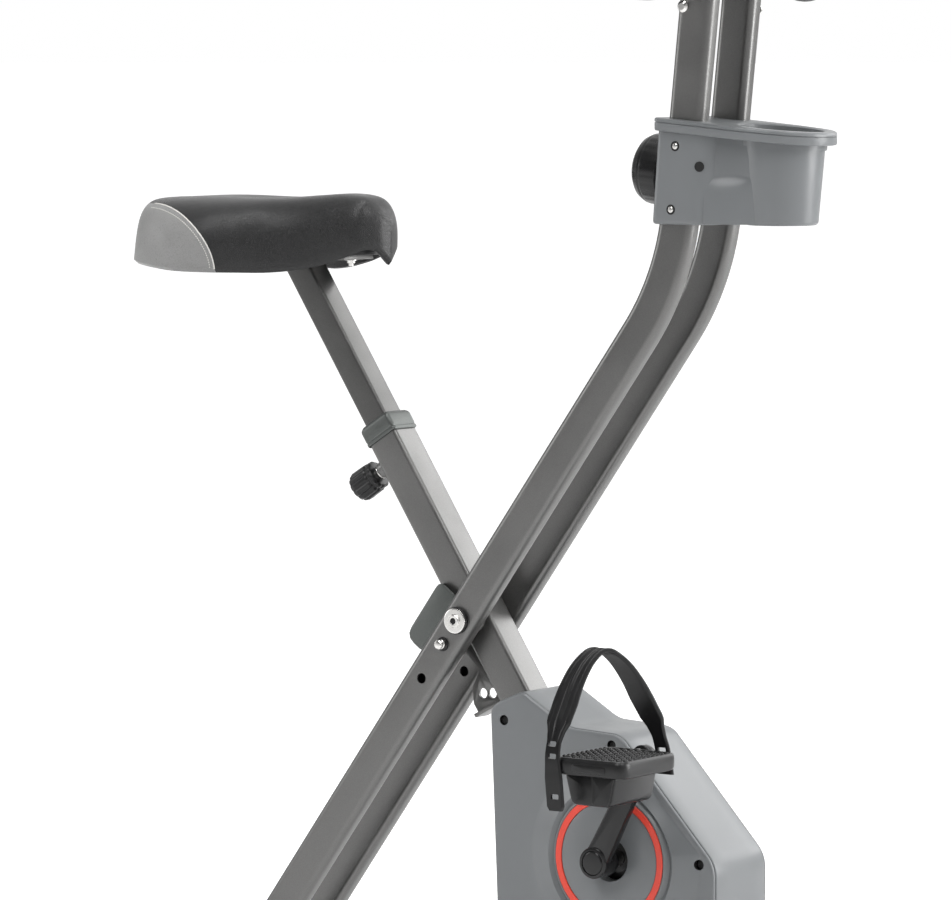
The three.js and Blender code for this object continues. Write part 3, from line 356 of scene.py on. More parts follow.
def eased(profile: Sequence[Sequence[float]], radius: float, steps: int = 3) -> Array:
    """A profile of (radius, height) rows with each inner corner eased by the same rounding."""
    rows = [(r, h, radius if 0 < k < len(profile) - 1 else 0) for k, (r, h) in enumerate(profile)]
    return rounded(rows, steps, closed=False)


def along_axis(points: Array, direction: Sequence[float]) -> Array:
    """Swings a piece turned about Y so that its axis lies along a direction."""
    y_axis = np.asarray(direction, float) / np.linalg.norm(direction)
    helper = np.array([0.0, 0, 1]) if abs(y_axis[2]) < 0.9 else np.array([1.0, 0, 0])
    x_axis = np.cross(y_axis, helper)
    x_axis /= np.linalg.norm(x_axis)
    z_axis = np.cross(x_axis, y_axis)
    return points[..., :1] * x_axis + points[..., 1:2] * y_axis + points[..., 2:] * z_axis


def poled(rings: Array) -> Array:
    """Closes a stack of rings with a point at each end."""
    first, last = rings[0].mean(0), rings[-1].mean(0)
    return np.concatenate([np.broadcast_to(first, rings[:1].shape), rings, np.broadcast_to(last, rings[:1].shape)])


def extruded(outline: Array, low: float, high: float, ease: float = 0.8) -> Array:
    """Rings of an outline in X and Z carried along Y, with eased edges.

    The first and last rings step in towards the outline's middle by `ease`.

    Args:
        outline: Points (x, z).
        low: Y where the piece starts.
        high: Y where it ends.
        ease: How far the edge is rounded.

    Returns:
        A grid of closed rings with poles.
    """
    levels = np.array([low, low + 0.3 * ease, low + ease, high - ease, high - 0.3 * ease, high])
    insets = ease * np.array([1, 0.3, 0, 0, 0.3, 1])
    outward = outline_normals(outline)
    flat = outline[None] - insets[:, None, None] * outward[None]
    return poled(np.stack([flat[..., 0], np.broadcast_to(levels[:, None], flat.shape[:2]), flat[..., 1]], axis=-1))


def outline_normals(outline: Array) -> Array:
    """Unit normals that point out of a closed outline."""
    step = np.roll(outline, -1, 0) - np.roll(outline, 1, 0)
    step /= np.maximum(np.linalg.norm(step, axis=1, keepdims=True), 1e-9)
    normal = np.stack([step[:, 1], -step[:, 0]], axis=-1)
    area = (outline[:, 0] * np.roll(outline[:, 1], -1) - outline[:, 1] * np.roll(outline[:, 0], -1)).sum()
    return normal if area > 0 else -normal


# ---- pieces ----------------------------------------------------------------------------------------


def grid_quads(index: Array) -> Array:
    """The corners of each face of a grid.

    Args:
        index: The number of the vertex at each place of the grid.

    Returns:
        One row of four vertex numbers for each face.
    """
    return np.stack([index[:-1, :-1], index[:-1, 1:], index[1:, 1:], index[1:, :-1]], axis=-1).reshape(-1, 4)


@dataclass
class Piece:
    """One named piece under construction: patches of surface, each with a finish."""

    name: str
    body: str
    finishes: list[bpy.types.Material]
    slot: str
    replaces: tuple[str, ...] = ()
    crease: float = 38.0
    points: list[Array] = field(default_factory=list)
    faces: list[Array] = field(default_factory=list)
    finish_index: list[Array] = field(default_factory=list)
    count: int = 0

    def add(self, grid: Array, wrap_u: bool = False, wrap_v: bool = True, finish: int = 0,
            metres: bool = False) -> "Piece":
        """Adds a grid of points as a patch of quads.

        Args:
            grid: Points shaped (U, V, 3), in millimetres about the pivot bolt.
            wrap_u: Joins the last row to the first.
            wrap_v: Joins the last column to the first.
            finish: Which of the piece's finishes the patch takes.
            metres: The points are already in the frame.

        Returns:
            The piece, so that calls can follow one another.
        """
        rows, columns = grid.shape[:2]
        index = np.arange(rows * columns).reshape(rows, columns) + self.count
        if wrap_u:
            index = np.vstack([index, index[:1]])
        if wrap_v:
            index = np.hstack([index, index[:, :1]])
        quads = grid_quads(index)
        self.points.append((grid if metres else LAYOUT.place(grid)).reshape(-1, 3))
        self.faces.append(quads)
        self.finish_index.append(np.full(len(quads), finish))
        self.count += rows * columns
        return self

    def add_many(self, grid: Array, places: Array, finish: int = 0) -> "Piece":
        """Adds a copy of one closed grid at each place, worked out as one array."""
        rows, columns = grid.shape[:2]
        copies = grid[None] + places[:, None, None, :]
        index = np.arange(rows * columns).reshape(rows, columns)
        index = np.hstack([index, index[:, :1]])
        quads = grid_quads(index)
        offsets = np.arange(len(places))[:, None, None] * rows * columns + self.count
        self.points.append(LAYOUT.place(copies).reshape(-1, 3))
        self.faces.append((quads[None] + offsets).reshape(-1, 4))
        self.finish_index.append(np.full(len(quads) * len(places), finish))
        self.count += rows * columns * len(places)
        return self

    def build(self, smooth: bool = True, weld: bool = True) -> bpy.types.Object:
        """Makes the Blender object, welds its seams, and fixes it to its body."""
        mesh = bpy.data.meshes.new(self.name)
        mesh.from_pydata(np.concatenate(self.points).tolist(), [], np.concatenate(self.faces).tolist())
        for finish in self.finishes:
            mesh.materials.append(finish)
        mesh.polygons.foreach_set("material_index", np.concatenate(self.finish_index).astype(np.int32))
        if weld:
            work = bmesh.new()
            work.from_mesh(mesh)
            bmesh.ops.remove_doubles(work, verts=work.verts, dist=2e-6)
            bmesh.ops.dissolve_degenerate(work, edges=work.edges, dist=1e-7)
            bmesh.ops.recalc_face_normals(work, faces=work.faces)
            work.to_mesh(mesh)
            work.free()
        return settle(mesh, self, smooth)


def settle(mesh: bpy.types.Mesh, piece: Piece, smooth: bool = True) -> bpy.types.Object:
    """Shades a mesh, links it, and gives it its body, its slot and the nodes it stands for."""
    if smooth:
        mesh.shade_smooth()
        mesh.set_sharp_from_angle(angle=math.radians(piece.crease))
    obj = bpy.data.objects.new(piece.name, mesh)
    bpy.context.scene.collection.objects.link(obj)
    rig.ride(obj, piece.body)
    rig.slot(obj, piece.slot)
    if piece.replaces:
        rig.replaces(obj, *piece.replaces)
    log.info("made %s on %s (%d faces)", piece.name, piece.body, len(mesh.polygons))
    return obj


def applied(obj: bpy.types.Object) -> bpy.types.Object:
    """Bakes the object's modifiers into its mesh."""
    baked = bpy.data.meshes.new_from_object(obj.evaluated_get(bpy.context.evaluated_depsgraph_get()))
    obj.modifiers.clear()
    obj.data = baked
    return obj


def drilled(obj: bpy.types.Object, cutters: Sequence[Array], inside: bpy.types.Material) -> bpy.types.Object:
    """Cuts closed tools out of a piece; the cut faces take the tool's finish.

    Args:
        obj: The piece, already closed.
        cutters: Closed grids of rings, in millimetres about the pivot bolt.
        inside: The finish of the cut faces.

    Returns:
        The same object with the cuts in its mesh.
    """
    cutter = Piece("cutter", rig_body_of(obj), [inside], "black_plastic")
    for grid in cutters:
        cutter.add(grid)
    tool = cutter.build()
    cut = obj.modifiers.new("holes", "BOOLEAN")
    cut.operation = "DIFFERENCE"
    cut.solver = "EXACT"
    cut.use_self = False
    cut.object = tool
    cut.material_mode = "TRANSFER"
    bpy.context.view_layer.update()
    applied(obj)
    bpy.data.objects.remove(tool)
    obj.data.shade_smooth()
    obj.data.set_sharp_from_angle(angle=math.radians(35))
    return obj


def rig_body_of(obj: bpy.types.Object) -> str:
    """The name of the body that a piece rides on."""
    return obj["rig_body"]


def softened(node: str, finish: bpy.types.Material, slot: str, width: float = 0.6,
             segments: int = 2) -> bpy.types.Object:
    """Stands a copy of a frame node in its place, with its flat faces joined and its edges rounded.

    Args:
        node: The frame node.
        finish: The copy's finish.
        slot: The record's material slot.
        width: The edges' rounding, in millimetres.
        segments: Steps in each rounded edge.

    Returns:
        The new piece.
    """
    source = frame["nodes"][node]
    mesh = source.data.copy()
    mesh.materials.clear()
    mesh.materials.append(finish)
    work = bmesh.new()
    work.from_mesh(mesh)
    bmesh.ops.remove_doubles(work, verts=work.verts, dist=1e-5)
    bmesh.ops.dissolve_limit(work, angle_limit=math.radians(0.6), verts=work.verts, edges=work.edges)
    work.to_mesh(mesh)
    work.free()
    body = source["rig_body"]
    piece = Piece(node + "_eased", body, [finish], slot, (node,), crease=32)
    obj = settle(mesh, piece, smooth=False)
    edge = obj.modifiers.new("eased edges", "BEVEL")
    edge.width = width * MM
    edge.segments = segments
    edge.limit_method = "ANGLE"
    edge.angle_limit = math.radians(40)
    edge.use_clamp_overlap = True
    applied(obj)
    obj.data.shade_smooth()
    obj.data.set_sharp_from_angle(angle=math.radians(32))
    return obj


# ---- shared effects and finishes -------------------------------------------------------------------

Colour = tuple[float, float, float]


def effect(name: str, inputs: dict[str, float], output: str,
           wire: Callable[[bpy.types.NodeTree, bpy.types.Node, bpy.types.Node], None]) -> bpy.types.NodeTree:
    """Makes a shader node group once.

    Args:
        name: The group's name.
        inputs: Named numbers and their starting values; a vector input is always added first.
        output: The name of the value it puts out.
        wire: Places and links the nodes between the group's input and output nodes.

    Returns:
        The node group.
    """
    if name in bpy.data.node_groups:
        return bpy.data.node_groups[name]
    tree = bpy.data.node_groups.new(name, "ShaderNodeTree")
    tree.interface.new_socket("Place", in_out="INPUT", socket_type="NodeSocketVector")
    for label, value in inputs.items():
        socket = tree.interface.new_socket(label, in_out="INPUT", socket_type="NodeSocketFloat")
        socket.default_value = value
    tree.interface.new_socket(output, in_out="OUTPUT", socket_type="NodeSocketFloat")
    wire(tree, tree.nodes.new("NodeGroupInput"), tree.nodes.new("NodeGroupOutput"))
    return tree


def grain_effect() -> bpy.types.NodeTree:
    """Fine moulded grain: two octaves of noise at different sizes, averaged."""

    def wire(tree: bpy.types.NodeTree, start: bpy.types.Node, end: bpy.types.Node) -> None:
        """Two noises, one three times as fine as the other, through an averaging node."""
        double = tree.nodes.new("ShaderNodeMath")
        double.operation = "MULTIPLY"
        double.inputs[1].default_value = 2.9
        tree.links.new(start.outputs["Size"], double.inputs[0])
        blend = tree.nodes.new("ShaderNodeMix")
        blend.data_type = "FLOAT"
        blend.inputs["Factor"].default_value = 0.45
        for slot_index, source in ((2, start.outputs["Size"]), (3, double.outputs[0])):
            noise = tree.nodes.new("ShaderNodeTexNoise")
            noise.inputs["Detail"].default_value = 3
            tree.links.new(start.outputs["Place"], noise.inputs["Vector"])
            tree.links.new(source, noise.inputs["Scale"])
            tree.links.new(noise.outputs[0], blend.inputs[slot_index])
        tree.links.new(blend.outputs[0], end.inputs[0])

    return effect("fine grain", {"Size": 900.0}, "Height", wire)


def hide_effect() -> bpy.types.NodeTree:
    """Leather grain: small cells with soft creases between them, broken up by noise."""

    def wire(tree: bpy.types.NodeTree, start: bpy.types.Node, end: bpy.types.Node) -> None:
        """Distance to the nearest cell edge, warped a little by noise."""
        warp = tree.nodes.new("ShaderNodeTexNoise")
        warp.inputs["Scale"].default_value = 180
        shift = tree.nodes.new("ShaderNodeVectorMath")
        shift.operation = "MULTIPLY_ADD"
        shift.inputs[1].default_value = (0.002, 0.002, 0.002)
        tree.links.new(start.outputs["Place"], warp.inputs["Vector"])
        tree.links.new(warp.outputs["Color"], shift.inputs[0])
        tree.links.new(start.outputs["Place"], shift.inputs[2])
        cells = tree.nodes.new("ShaderNodeTexVoronoi")
        cells.feature = "DISTANCE_TO_EDGE"
        tree.links.new(shift.outputs[0], cells.inputs["Vector"])
        tree.links.new(start.outputs["Size"], cells.inputs["Scale"])
        crease = tree.nodes.new("ShaderNodeMapRange")
        crease.interpolation_type = "SMOOTHSTEP"
        crease.inputs["From Max"].default_value = 0.22
        tree.links.new(cells.outputs["Distance"], crease.inputs["Value"])
        tree.links.new(crease.outputs["Result"], end.inputs[0])

    return effect("leather hide", {"Size": 700.0}, "Height", wire)


def scuff_effect() -> bpy.types.NodeTree:
    """Broad uneven wear: large soft patches with streaks in them, from 0 to 1."""

    def wire(tree: bpy.types.NodeTree, start: bpy.types.Node, end: bpy.types.Node) -> None:
        """Low noise times a stretched finer one, sharpened."""
        patches = tree.nodes.new("ShaderNodeTexNoise")
        patches.inputs["Detail"].default_value = 4
        patches.inputs["Roughness"].default_value = 0.62
        tree.links.new(start.outputs["Place"], patches.inputs["Vector"])
        tree.links.new(start.outputs["Size"], patches.inputs["Scale"])
        sharpen = tree.nodes.new("ShaderNodeMapRange")
        sharpen.interpolation_type = "SMOOTHSTEP"
        sharpen.inputs["From Min"].default_value = 0.35
        sharpen.inputs["From Max"].default_value = 0.72
        tree.links.new(patches.outputs[0], sharpen.inputs["Value"])
        tree.links.new(sharpen.outputs["Result"], end.inputs[0])

    return effect("uneven wear", {"Size": 9.0}, "Amount", wire)


def dust_effect() -> bpy.types.NodeTree:
    """A thin film on faces that look up, broken by noise."""

    def wire(tree: bpy.types.NodeTree, start: bpy.types.Node, end: bpy.types.Node) -> None:
        """The upward part of the normal, raised to a power, times noise."""
        geometry = tree.nodes.new("ShaderNodeNewGeometry")
        split = tree.nodes.new("ShaderNodeSeparateXYZ")
        tree.links.new(geometry.outputs["Normal"], split.inputs[0])
        upward = tree.nodes.new("ShaderNodeMapRange")
        upward.inputs["From Min"].default_value = 0.45
        tree.links.new(split.outputs["Z"], upward.inputs["Value"])
        specks = tree.nodes.new("ShaderNodeTexNoise")
        specks.inputs["Detail"].default_value = 5
        tree.links.new(start.outputs["Place"], specks.inputs["Vector"])
        tree.links.new(start.outputs["Size"], specks.inputs["Scale"])
        product = tree.nodes.new("ShaderNodeMath")
        product.operation = "MULTIPLY"
        tree.links.new(upward.outputs["Result"], product.inputs[0])
        tree.links.new(specks.outputs[0], product.inputs[1])
        tree.links.new(product.outputs[0], end.inputs[0])

    return effect("settled dust", {"Size": 160.0}, "Amount", wire)


class Grain(Enum):
    """The small relief that a finish has."""

    FINE = "fine"
    HIDE = "hide"


@dataclass(frozen=True)
class Finish:
    """A surface finish: colour, gloss, small relief, uneven wear and a trace of dust."""

    name: str
    colour: Colour
    roughness: float
    metallic: float = 0.0
    grain: Grain = Grain.FINE
    grain_size: float = 900.0
    grain_depth: float = 0.05
    grain_tint: float = 0.06
    wear_size: float = 9.0
    wear_gloss: float = 0.06
    wear_tint: float = 0.06
    dust: float = 0.03
    specular: float = 0.5
    coat: float = 0.0
    coat_roughness: float = 0.2
    sheen: float = 0.0
    flakes: float = 0.0

    def material(self) -> bpy.types.Material:
        """Builds the material the first time and hands back the same one after that."""
        if self.name in bpy.data.materials:
            return bpy.data.materials[self.name]
        made = bpy.data.materials.new(self.name)
        made.use_nodes = True
        tree = made.node_tree
        shader = tree.nodes["Principled BSDF"]
        shader.inputs["Metallic"].default_value = self.metallic
        shader.inputs["Specular IOR Level"].default_value = self.specular
        shader.inputs["Coat Weight"].default_value = self.coat
        shader.inputs["Coat Roughness"].default_value = self.coat_roughness
        shader.inputs["Sheen Weight"].default_value = self.sheen
        place = tree.nodes.new("ShaderNodeTexCoord").outputs["Object"]
        height = self.relief(tree, place)
        wear = self.part(tree, scuff_effect(), place, self.wear_size)
        colour = self.tinted(tree, self.base(tree, place), height, self.grain_tint)
        colour = self.tinted(tree, colour, wear, self.wear_tint)
        tree.links.new(self.dusted(tree, colour, place), shader.inputs["Base Color"])
        gloss = tree.nodes.new("ShaderNodeMapRange")
        gloss.inputs["To Min"].default_value = max(self.roughness - self.wear_gloss, 0.04)
        gloss.inputs["To Max"].default_value = min(self.roughness + self.wear_gloss, 1)
        tree.links.new(wear, gloss.inputs["Value"])
        tree.links.new(gloss.outputs["Result"], shader.inputs["Roughness"])
        bump = tree.nodes.new("ShaderNodeBump")
        bump.inputs["Strength"].default_value = 1
        bump.inputs["Distance"].default_value = self.grain_depth * MM
        tree.links.new(height, bump.inputs["Height"])
        tree.links.new(bump.outputs["Normal"], shader.inputs["Normal"])
        return made

    def part(self, tree: bpy.types.NodeTree, group: bpy.types.NodeTree, place: bpy.types.NodeSocket,
             size: float) -> bpy.types.NodeSocket:
        """Places a shared effect in a material and gives back its value."""
        node = tree.nodes.new("ShaderNodeGroup")
        node.node_tree = group
        node.inputs["Size"].default_value = size
        tree.links.new(place, node.inputs["Place"])
        return node.outputs[0]

    def relief(self, tree: bpy.types.NodeTree, place: bpy.types.NodeSocket) -> bpy.types.NodeSocket:
        """The height of the small relief."""
        group = hide_effect() if self.grain is Grain.HIDE else grain_effect()
        return self.part(tree, group, place, self.grain_size)

    def base(self, tree: bpy.types.NodeTree, place: bpy.types.NodeSocket) -> bpy.types.NodeSocket:
        """The colour before tinting: plain here, patterned in finishes that override it."""
        plain = tree.nodes.new("ShaderNodeRGB")
        plain.outputs[0].default_value = (*self.colour, 1)
        return plain.outputs[0]

    def tinted(self, tree: bpy.types.NodeTree, colour: bpy.types.NodeSocket, amount: bpy.types.NodeSocket,
               strength: float) -> bpy.types.NodeSocket:
        """Darkens and lightens a colour about its middle by a value from 0 to 1."""
        level = tree.nodes.new("ShaderNodeMapRange")
        level.inputs["To Min"].default_value = 1 - strength
        level.inputs["To Max"].default_value = 1 + strength
        tree.links.new(amount, level.inputs["Value"])
        scale = tree.nodes.new("ShaderNodeVectorMath")
        scale.operation = "SCALE"
        tree.links.new(colour, scale.inputs[0])
        tree.links.new(level.outputs["Result"], scale.inputs["Scale"])
        return scale.outputs[0]

    def dusted(self, tree: bpy.types.NodeTree, colour: bpy.types.NodeSocket,
               place: bpy.types.NodeSocket) -> bpy.types.NodeSocket:
        """Mixes pale dust over faces that look up."""
        amount = self.part(tree, dust_effect(), place, 160.0)
        weight = tree.nodes.new("ShaderNodeMath")
        weight.operation = "MULTIPLY"
        weight.inputs[1].default_value = self.dust
        tree.links.new(amount, weight.inputs[0])
        mix = tree.nodes.new("ShaderNodeMix")
        mix.data_type = "RGBA"
        tree.links.new(weight.outputs[0], mix.inputs["Factor"])
        tree.links.new(colour, mix.inputs["A"])
        mix.inputs["B"].default_value = (0.55, 0.54, 0.52, 1)
        return mix.outputs["Result"]


@dataclass(frozen=True)
class FlakedPaint(Finish):
    """Metallic paint: tiny flakes brighten and darken the colour from point to point."""

    def base(self, tree: bpy.types.NodeTree, place: bpy.types.NodeSocket) -> bpy.types.NodeSocket:
        """The paint's colour, scaled by the shade of small cells."""
        cells = tree.nodes.new("ShaderNodeTexVoronoi")
        cells.inputs["Scale"].default_value = 3200
        tree.links.new(place, cells.inputs["Vector"])
        split = tree.nodes.new("ShaderNodeSeparateColor")
        tree.links.new(cells.outputs["Color"], split.inputs[0])
        return self.tinted(tree, super().base(tree, place), split.outputs[0], self.flakes)


class Finishes:
    """Every finish on the bike."""

    frame_paint = FlakedPaint("frame paint", (0.16, 0.159, 0.156), 0.34, 0.8, grain_size=1400,
                              grain_depth=0.012, flakes=0.13, coat=0.12, wear_tint=0.04)
    # Painted shade: the post takes the frame's paint, made darker to stand in for the saddle's shadow on it.
    post_paint = FlakedPaint("post paint", (0.105, 0.104, 0.102), 0.33, 0.85, grain_size=1400,
                             grain_depth=0.012, flakes=0.12, coat=0.1, wear_tint=0.04)
    weld = Finish("painted weld", (0.19, 0.186, 0.18), 0.42, 0.8, grain_size=420, grain_depth=0.12)
    housing_grey = Finish("housing grey", (0.158, 0.166, 0.172), 0.33, grain_size=1100, grain_depth=0.02,
                          grain_tint=0.03, wear_gloss=0.04, wear_tint=0.02)
    black_plastic = Finish("black plastic", (0.007, 0.007, 0.0075), 0.33, dust=0.008, specular=0.4, grain_size=1100,
                           grain_depth=0.02)
    satin_black = Finish("satin black", (0.009, 0.009, 0.0095), 0.26, dust=0.008, specular=0.4, grain_size=1300,
                         grain_depth=0.01)
    # Painted shade: a near-black matt finish put on hole walls, in sockets, on recessed screw heads and on discs in
    # recesses, where only shade falls.
    pit_black = Finish("hole shadow", (0.006, 0.006, 0.006), 0.8, dust=0.0)
    rubber = Finish("black rubber", (0.009, 0.009, 0.009), 0.55, dust=0.015, specular=0.35, grain_size=800,
                    grain_depth=0.04)
    strap_rubber = Finish("strap rubber", (0.007, 0.007, 0.0075), 0.32, dust=0.008, specular=0.4, grain_size=900,
                          grain_depth=0.03)
    foam = Finish("grip foam", (0.02, 0.02, 0.021), 0.9, grain_size=650, grain_depth=0.35, grain_tint=0.4,
                  sheen=0.2, specular=0.2)
    chrome = Finish("bright zinc", (0.74, 0.73, 0.71), 0.2, 1.0, grain_size=1500, grain_depth=0.004,
                    grain_tint=0.02)
    iron = Finish("turned iron", (0.18, 0.18, 0.185), 0.42, 1.0, grain_size=700, grain_depth=0.03)
    ring_red = Finish("ring red", (0.75, 0.06, 0.035), 0.4, grain_size=1200, grain_depth=0.01, wear_tint=0.02)
    window = Finish("console window", (0.03, 0.036, 0.036), 0.08, specular=0.6, grain_depth=0.0, dust=0.0)
    digits = Finish("display segments", (0.01, 0.012, 0.012), 0.5, dust=0.0)
    display = Finish("display back", (0.36, 0.4, 0.36), 0.35, dust=0.0)
    bracket = FlakedPaint("bracket paint", (0.105, 0.112, 0.108), 0.4, 0.7, grain_size=1400,
                          grain_depth=0.012, flakes=0.12)
    thread = Finish("pale thread", (0.62, 0.61, 0.58), 0.7, grain_size=2500, grain_depth=0.06, sheen=0.3)
    pan = Finish("saddle pan", (0.01, 0.01, 0.011), 0.5, dust=0.0, grain_size=700, grain_depth=0.05)


# ---- frame tubes and feet --------------------------------------------------------------------------


@dataclass
class FrameTubes:
    """The leg, the twin tubes, their welds and the foot bars with their caps and wheels."""

    leg_size: float = 38
    leg_corner: float = 4.5
    leg_top: float = 231
    tube_depth: float = 40
    tube_width: float = 20
    tube_corner: float = 8
    tube_wall: float = 1.8
    tube_spacing: float = 75.7
    bend_radius: float = 260
    bend_along: float = 442.6
    upper_length: float = 293
    fold_hole_along: float = -78
    fold_hole_radius: float = 5.5
    foot_drop: float = 485
    foot_radius: float = 25
    foot_half: float = 188
    cap_radius: float = 30
    cap_inner: float = 158
    cap_outer: float = 202
    knob_along: float = 193
    wheel_ahead: float = 54
    wheel_rise: float = 4
    wheel_radius: float = 22

    @property
    def front_foot(self) -> Array:
        """X and Z of the front foot bar."""
        return LAYOUT.on_lean(-LAYOUT.seat_lean, -self.foot_drop / math.cos(LAYOUT.seat_lean))

    @property
    def rear_foot(self) -> Array:
        """X and Z of the rear foot bar."""
        return LAYOUT.on_lean(LAYOUT.tube_lean, -self.foot_drop / math.cos(LAYOUT.tube_lean))

    def tube_path(self, y: float) -> Array:
        """The twin tubes' centre line: a straight, an arc that turns it upright, and a straight.

        Args:
            y: The tube's place across the bike.

        Returns:
            Points from the foot up to the head.
        """
        turn = LAYOUT.tube_lean - LAYOUT.upper_lean
        reach = self.bend_radius * math.tan(turn / 2)
        centre = LAYOUT.on_lean(LAYOUT.tube_lean, self.bend_along - reach, -self.bend_radius)
        lean = np.linspace(LAYOUT.tube_lean, LAYOUT.upper_lean, 25)
        arc = centre + self.bend_radius * np.stack([np.cos(lean), -np.sin(lean)], axis=-1)
        corner = LAYOUT.on_lean(LAYOUT.tube_lean, self.bend_along)
        top = corner + LAYOUT.on_lean(LAYOUT.upper_lean, self.upper_length)
        line = np.vstack([self.rear_foot, arc, top])
        line = resampled(line, 150)
        return np.stack([line[:, 0], np.full(len(line), y), line[:, 1]], axis=-1)

    def tube(self, side: Side) -> None:
        """One flat-oval tube with its wall, and the fold hole drilled through it."""
        path = self.tube_path(side.sign * self.tube_spacing / 2)
        outer = swept(oval(self.tube_depth, self.tube_width, self.tube_corner), path)
        wall = 2 * self.tube_wall
        inner = swept(oval(self.tube_depth - wall, self.tube_width - wall, self.tube_corner - 1.5), path)
        lip = 0.5 * outer[-1:] + 0.5 * inner[-1:]
        paint = Finishes.frame_paint.material()
        piece = Piece(f"{side.label}_oval_tube", "rear_frame", [paint], "frame_paint", (f"{side.label}_tube",))
        piece.add(np.concatenate([outer, lip, inner[::-1]]), wrap_u=True)
        hole = LAYOUT.on_lean(LAYOUT.tube_lean, self.fold_hole_along)
        middle = side.sign * self.tube_spacing / 2
        tool = poled(turned([(self.fold_hole_radius, middle - 15), (self.fold_hole_radius, middle + 15)], 40))
        # The hole's walls take the painted hole shade.
        drilled(piece.build(), [tool + [hole[0], 0, hole[1]]], Finishes.pit_black.material())

    def leg(self) -> None:
        """The square leg with its knob boss and weld beads."""
        low = -self.foot_drop / math.cos(LAYOUT.seat_lean) + 12
        rise = np.linspace(low, self.leg_top, 60)
        path = np.stack([np.zeros(60), np.zeros(60), rise], axis=-1)
        outer = swept(oval(self.leg_size, self.leg_size, self.leg_corner), path)
        inner = swept(oval(self.leg_size - 4, self.leg_size - 4, self.leg_corner - 1.5), path)
        piece = Piece("square_leg", "front_frame", [Finishes.frame_paint.material(), Finishes.weld.material()],
                      "frame_paint", ("leg_tube",))
        lean = -LAYOUT.seat_lean
        piece.add(LAYOUT.leaning(lean, (0, 0), np.concatenate([outer, inner[::-1]])), wrap_u=True)
        half = self.leg_size / 2
        boss = turned(eased([(0, half - 2), (9.4, half - 2), (9.4, half + 11), (8.4, half + 12), (5.6, half + 12),
                             (5.6, half + 6), (0, half + 6)], 0.7), 40)
        boss = along_axis(boss, (-1, 0, 0)) + [0, 0, self.knob_along]
        piece.add(LAYOUT.leaning(lean, (0, 0), boss))
        bead = along_axis(weld_ring(10.4, 2.0, 60), (-1, 0, 0)) + [-half - 0.3, 0, self.knob_along]
        piece.add(LAYOUT.leaning(lean, (0, 0), bead), wrap_u=True, finish=1)
        for sign in (-1, 1):
            hub = turned(eased([(6.6, 0), (12.2, 0), (12.2, 9.4), (6.6, 9.4)], 0.5), 40) * [1, sign, 1]
            piece.add(hub + [0, sign * (half - 1), 0], wrap_u=True)
            piece.add(weld_ring(13.0, 1.7, 70) + [0, sign * (half + 0.2), 0], wrap_u=True, finish=1)
        piece.build()

    def foot(self, end: str, body: str, place: Array) -> None:
        """A foot bar, its two caps and, at the front, its two wheels."""
        paint, weld = Finishes.frame_paint.material(), Finishes.weld.material()
        bar = Piece(f"{end}_bar", body, [paint, weld], "frame_paint", (f"{end}_foot_bar",))
        profile = [(self.foot_radius, -self.foot_half), (self.foot_radius, self.foot_half),
                   (self.foot_radius - 1.8, self.foot_half), (self.foot_radius - 1.8, -self.foot_half)]
        bar.add(turned(profile, 64) + [place[0], 0, place[1]], wrap_u=True)
        lean = -LAYOUT.seat_lean if end == "front" else LAYOUT.tube_lean
        for y in ((0,) if end == "front" else (-self.tube_spacing / 2, self.tube_spacing / 2)):
            width = self.leg_size if end == "front" else self.tube_width
            depth = self.leg_size if end == "front" else self.tube_depth
            loop = resampled(oval(depth + 1.5, width + 1.5, 6), 90, closed=True)
            top = np.sqrt(self.foot_radius**2 - np.clip(loop[:, 0] * 0.98, -24, 24) ** 2)
            line = np.stack([loop[:, 0], loop[:, 1] + y, top], axis=-1)
            bead = beaded(line, 1.9)
            bar.add(LAYOUT.leaning(lean, place, bead), wrap_u=True, finish=1)
        bar.build()
        for side in Side:
            self.cap(end, body, place, side)
            if end == "front":
                self.wheel(place, side)

    def cap(self, end: str, body: str, place: Array, side: Side) -> None:
        """A rubber end cap with three ribs round it, and the wheel's lug at the front."""
        r, low, high = self.cap_radius, self.cap_inner, self.cap_outer
        profile = [(self.foot_radius + 0.3, low), (r - 0.8, low), (r, low + 1.5), (r, low + 8), (r - 1.2, low + 9),
                   (r - 1.2, low + 11), (r, low + 12), (r, low + 17), (r - 1.2, low + 18), (r - 1.2, low + 20),
                   (r, low + 21), (r, high - 8), (r - 2, high - 3), (r - 7, high), (4, high), (3, high - 1),
                   (0, high - 1)]
        shape = poled(turned(eased(profile, 1.2, 2), 64))
        piece = Piece(f"{end}_cap_{side.label}", body, [Finishes.rubber.material()], "black_rubber",
                      (f"{end}_foot_cap_{side.label}",))
        piece.add(shape * [1, side.sign, 1] + [place[0], 0, place[1]])
        if end == "front":
            arm = rounded([(20, -16, 3), (self.wheel_ahead + 10, self.wheel_rise - 10, 9),
                           (self.wheel_ahead + 10, self.wheel_rise + 10, 9), (20, 16, 3)], 8)
            lug = extruded(arm, self.foot_half - 21, self.foot_half - 13, 1.2)
            piece.add(lug * [1, side.sign, 1] + [place[0], 0, place[1]])
        piece.build()

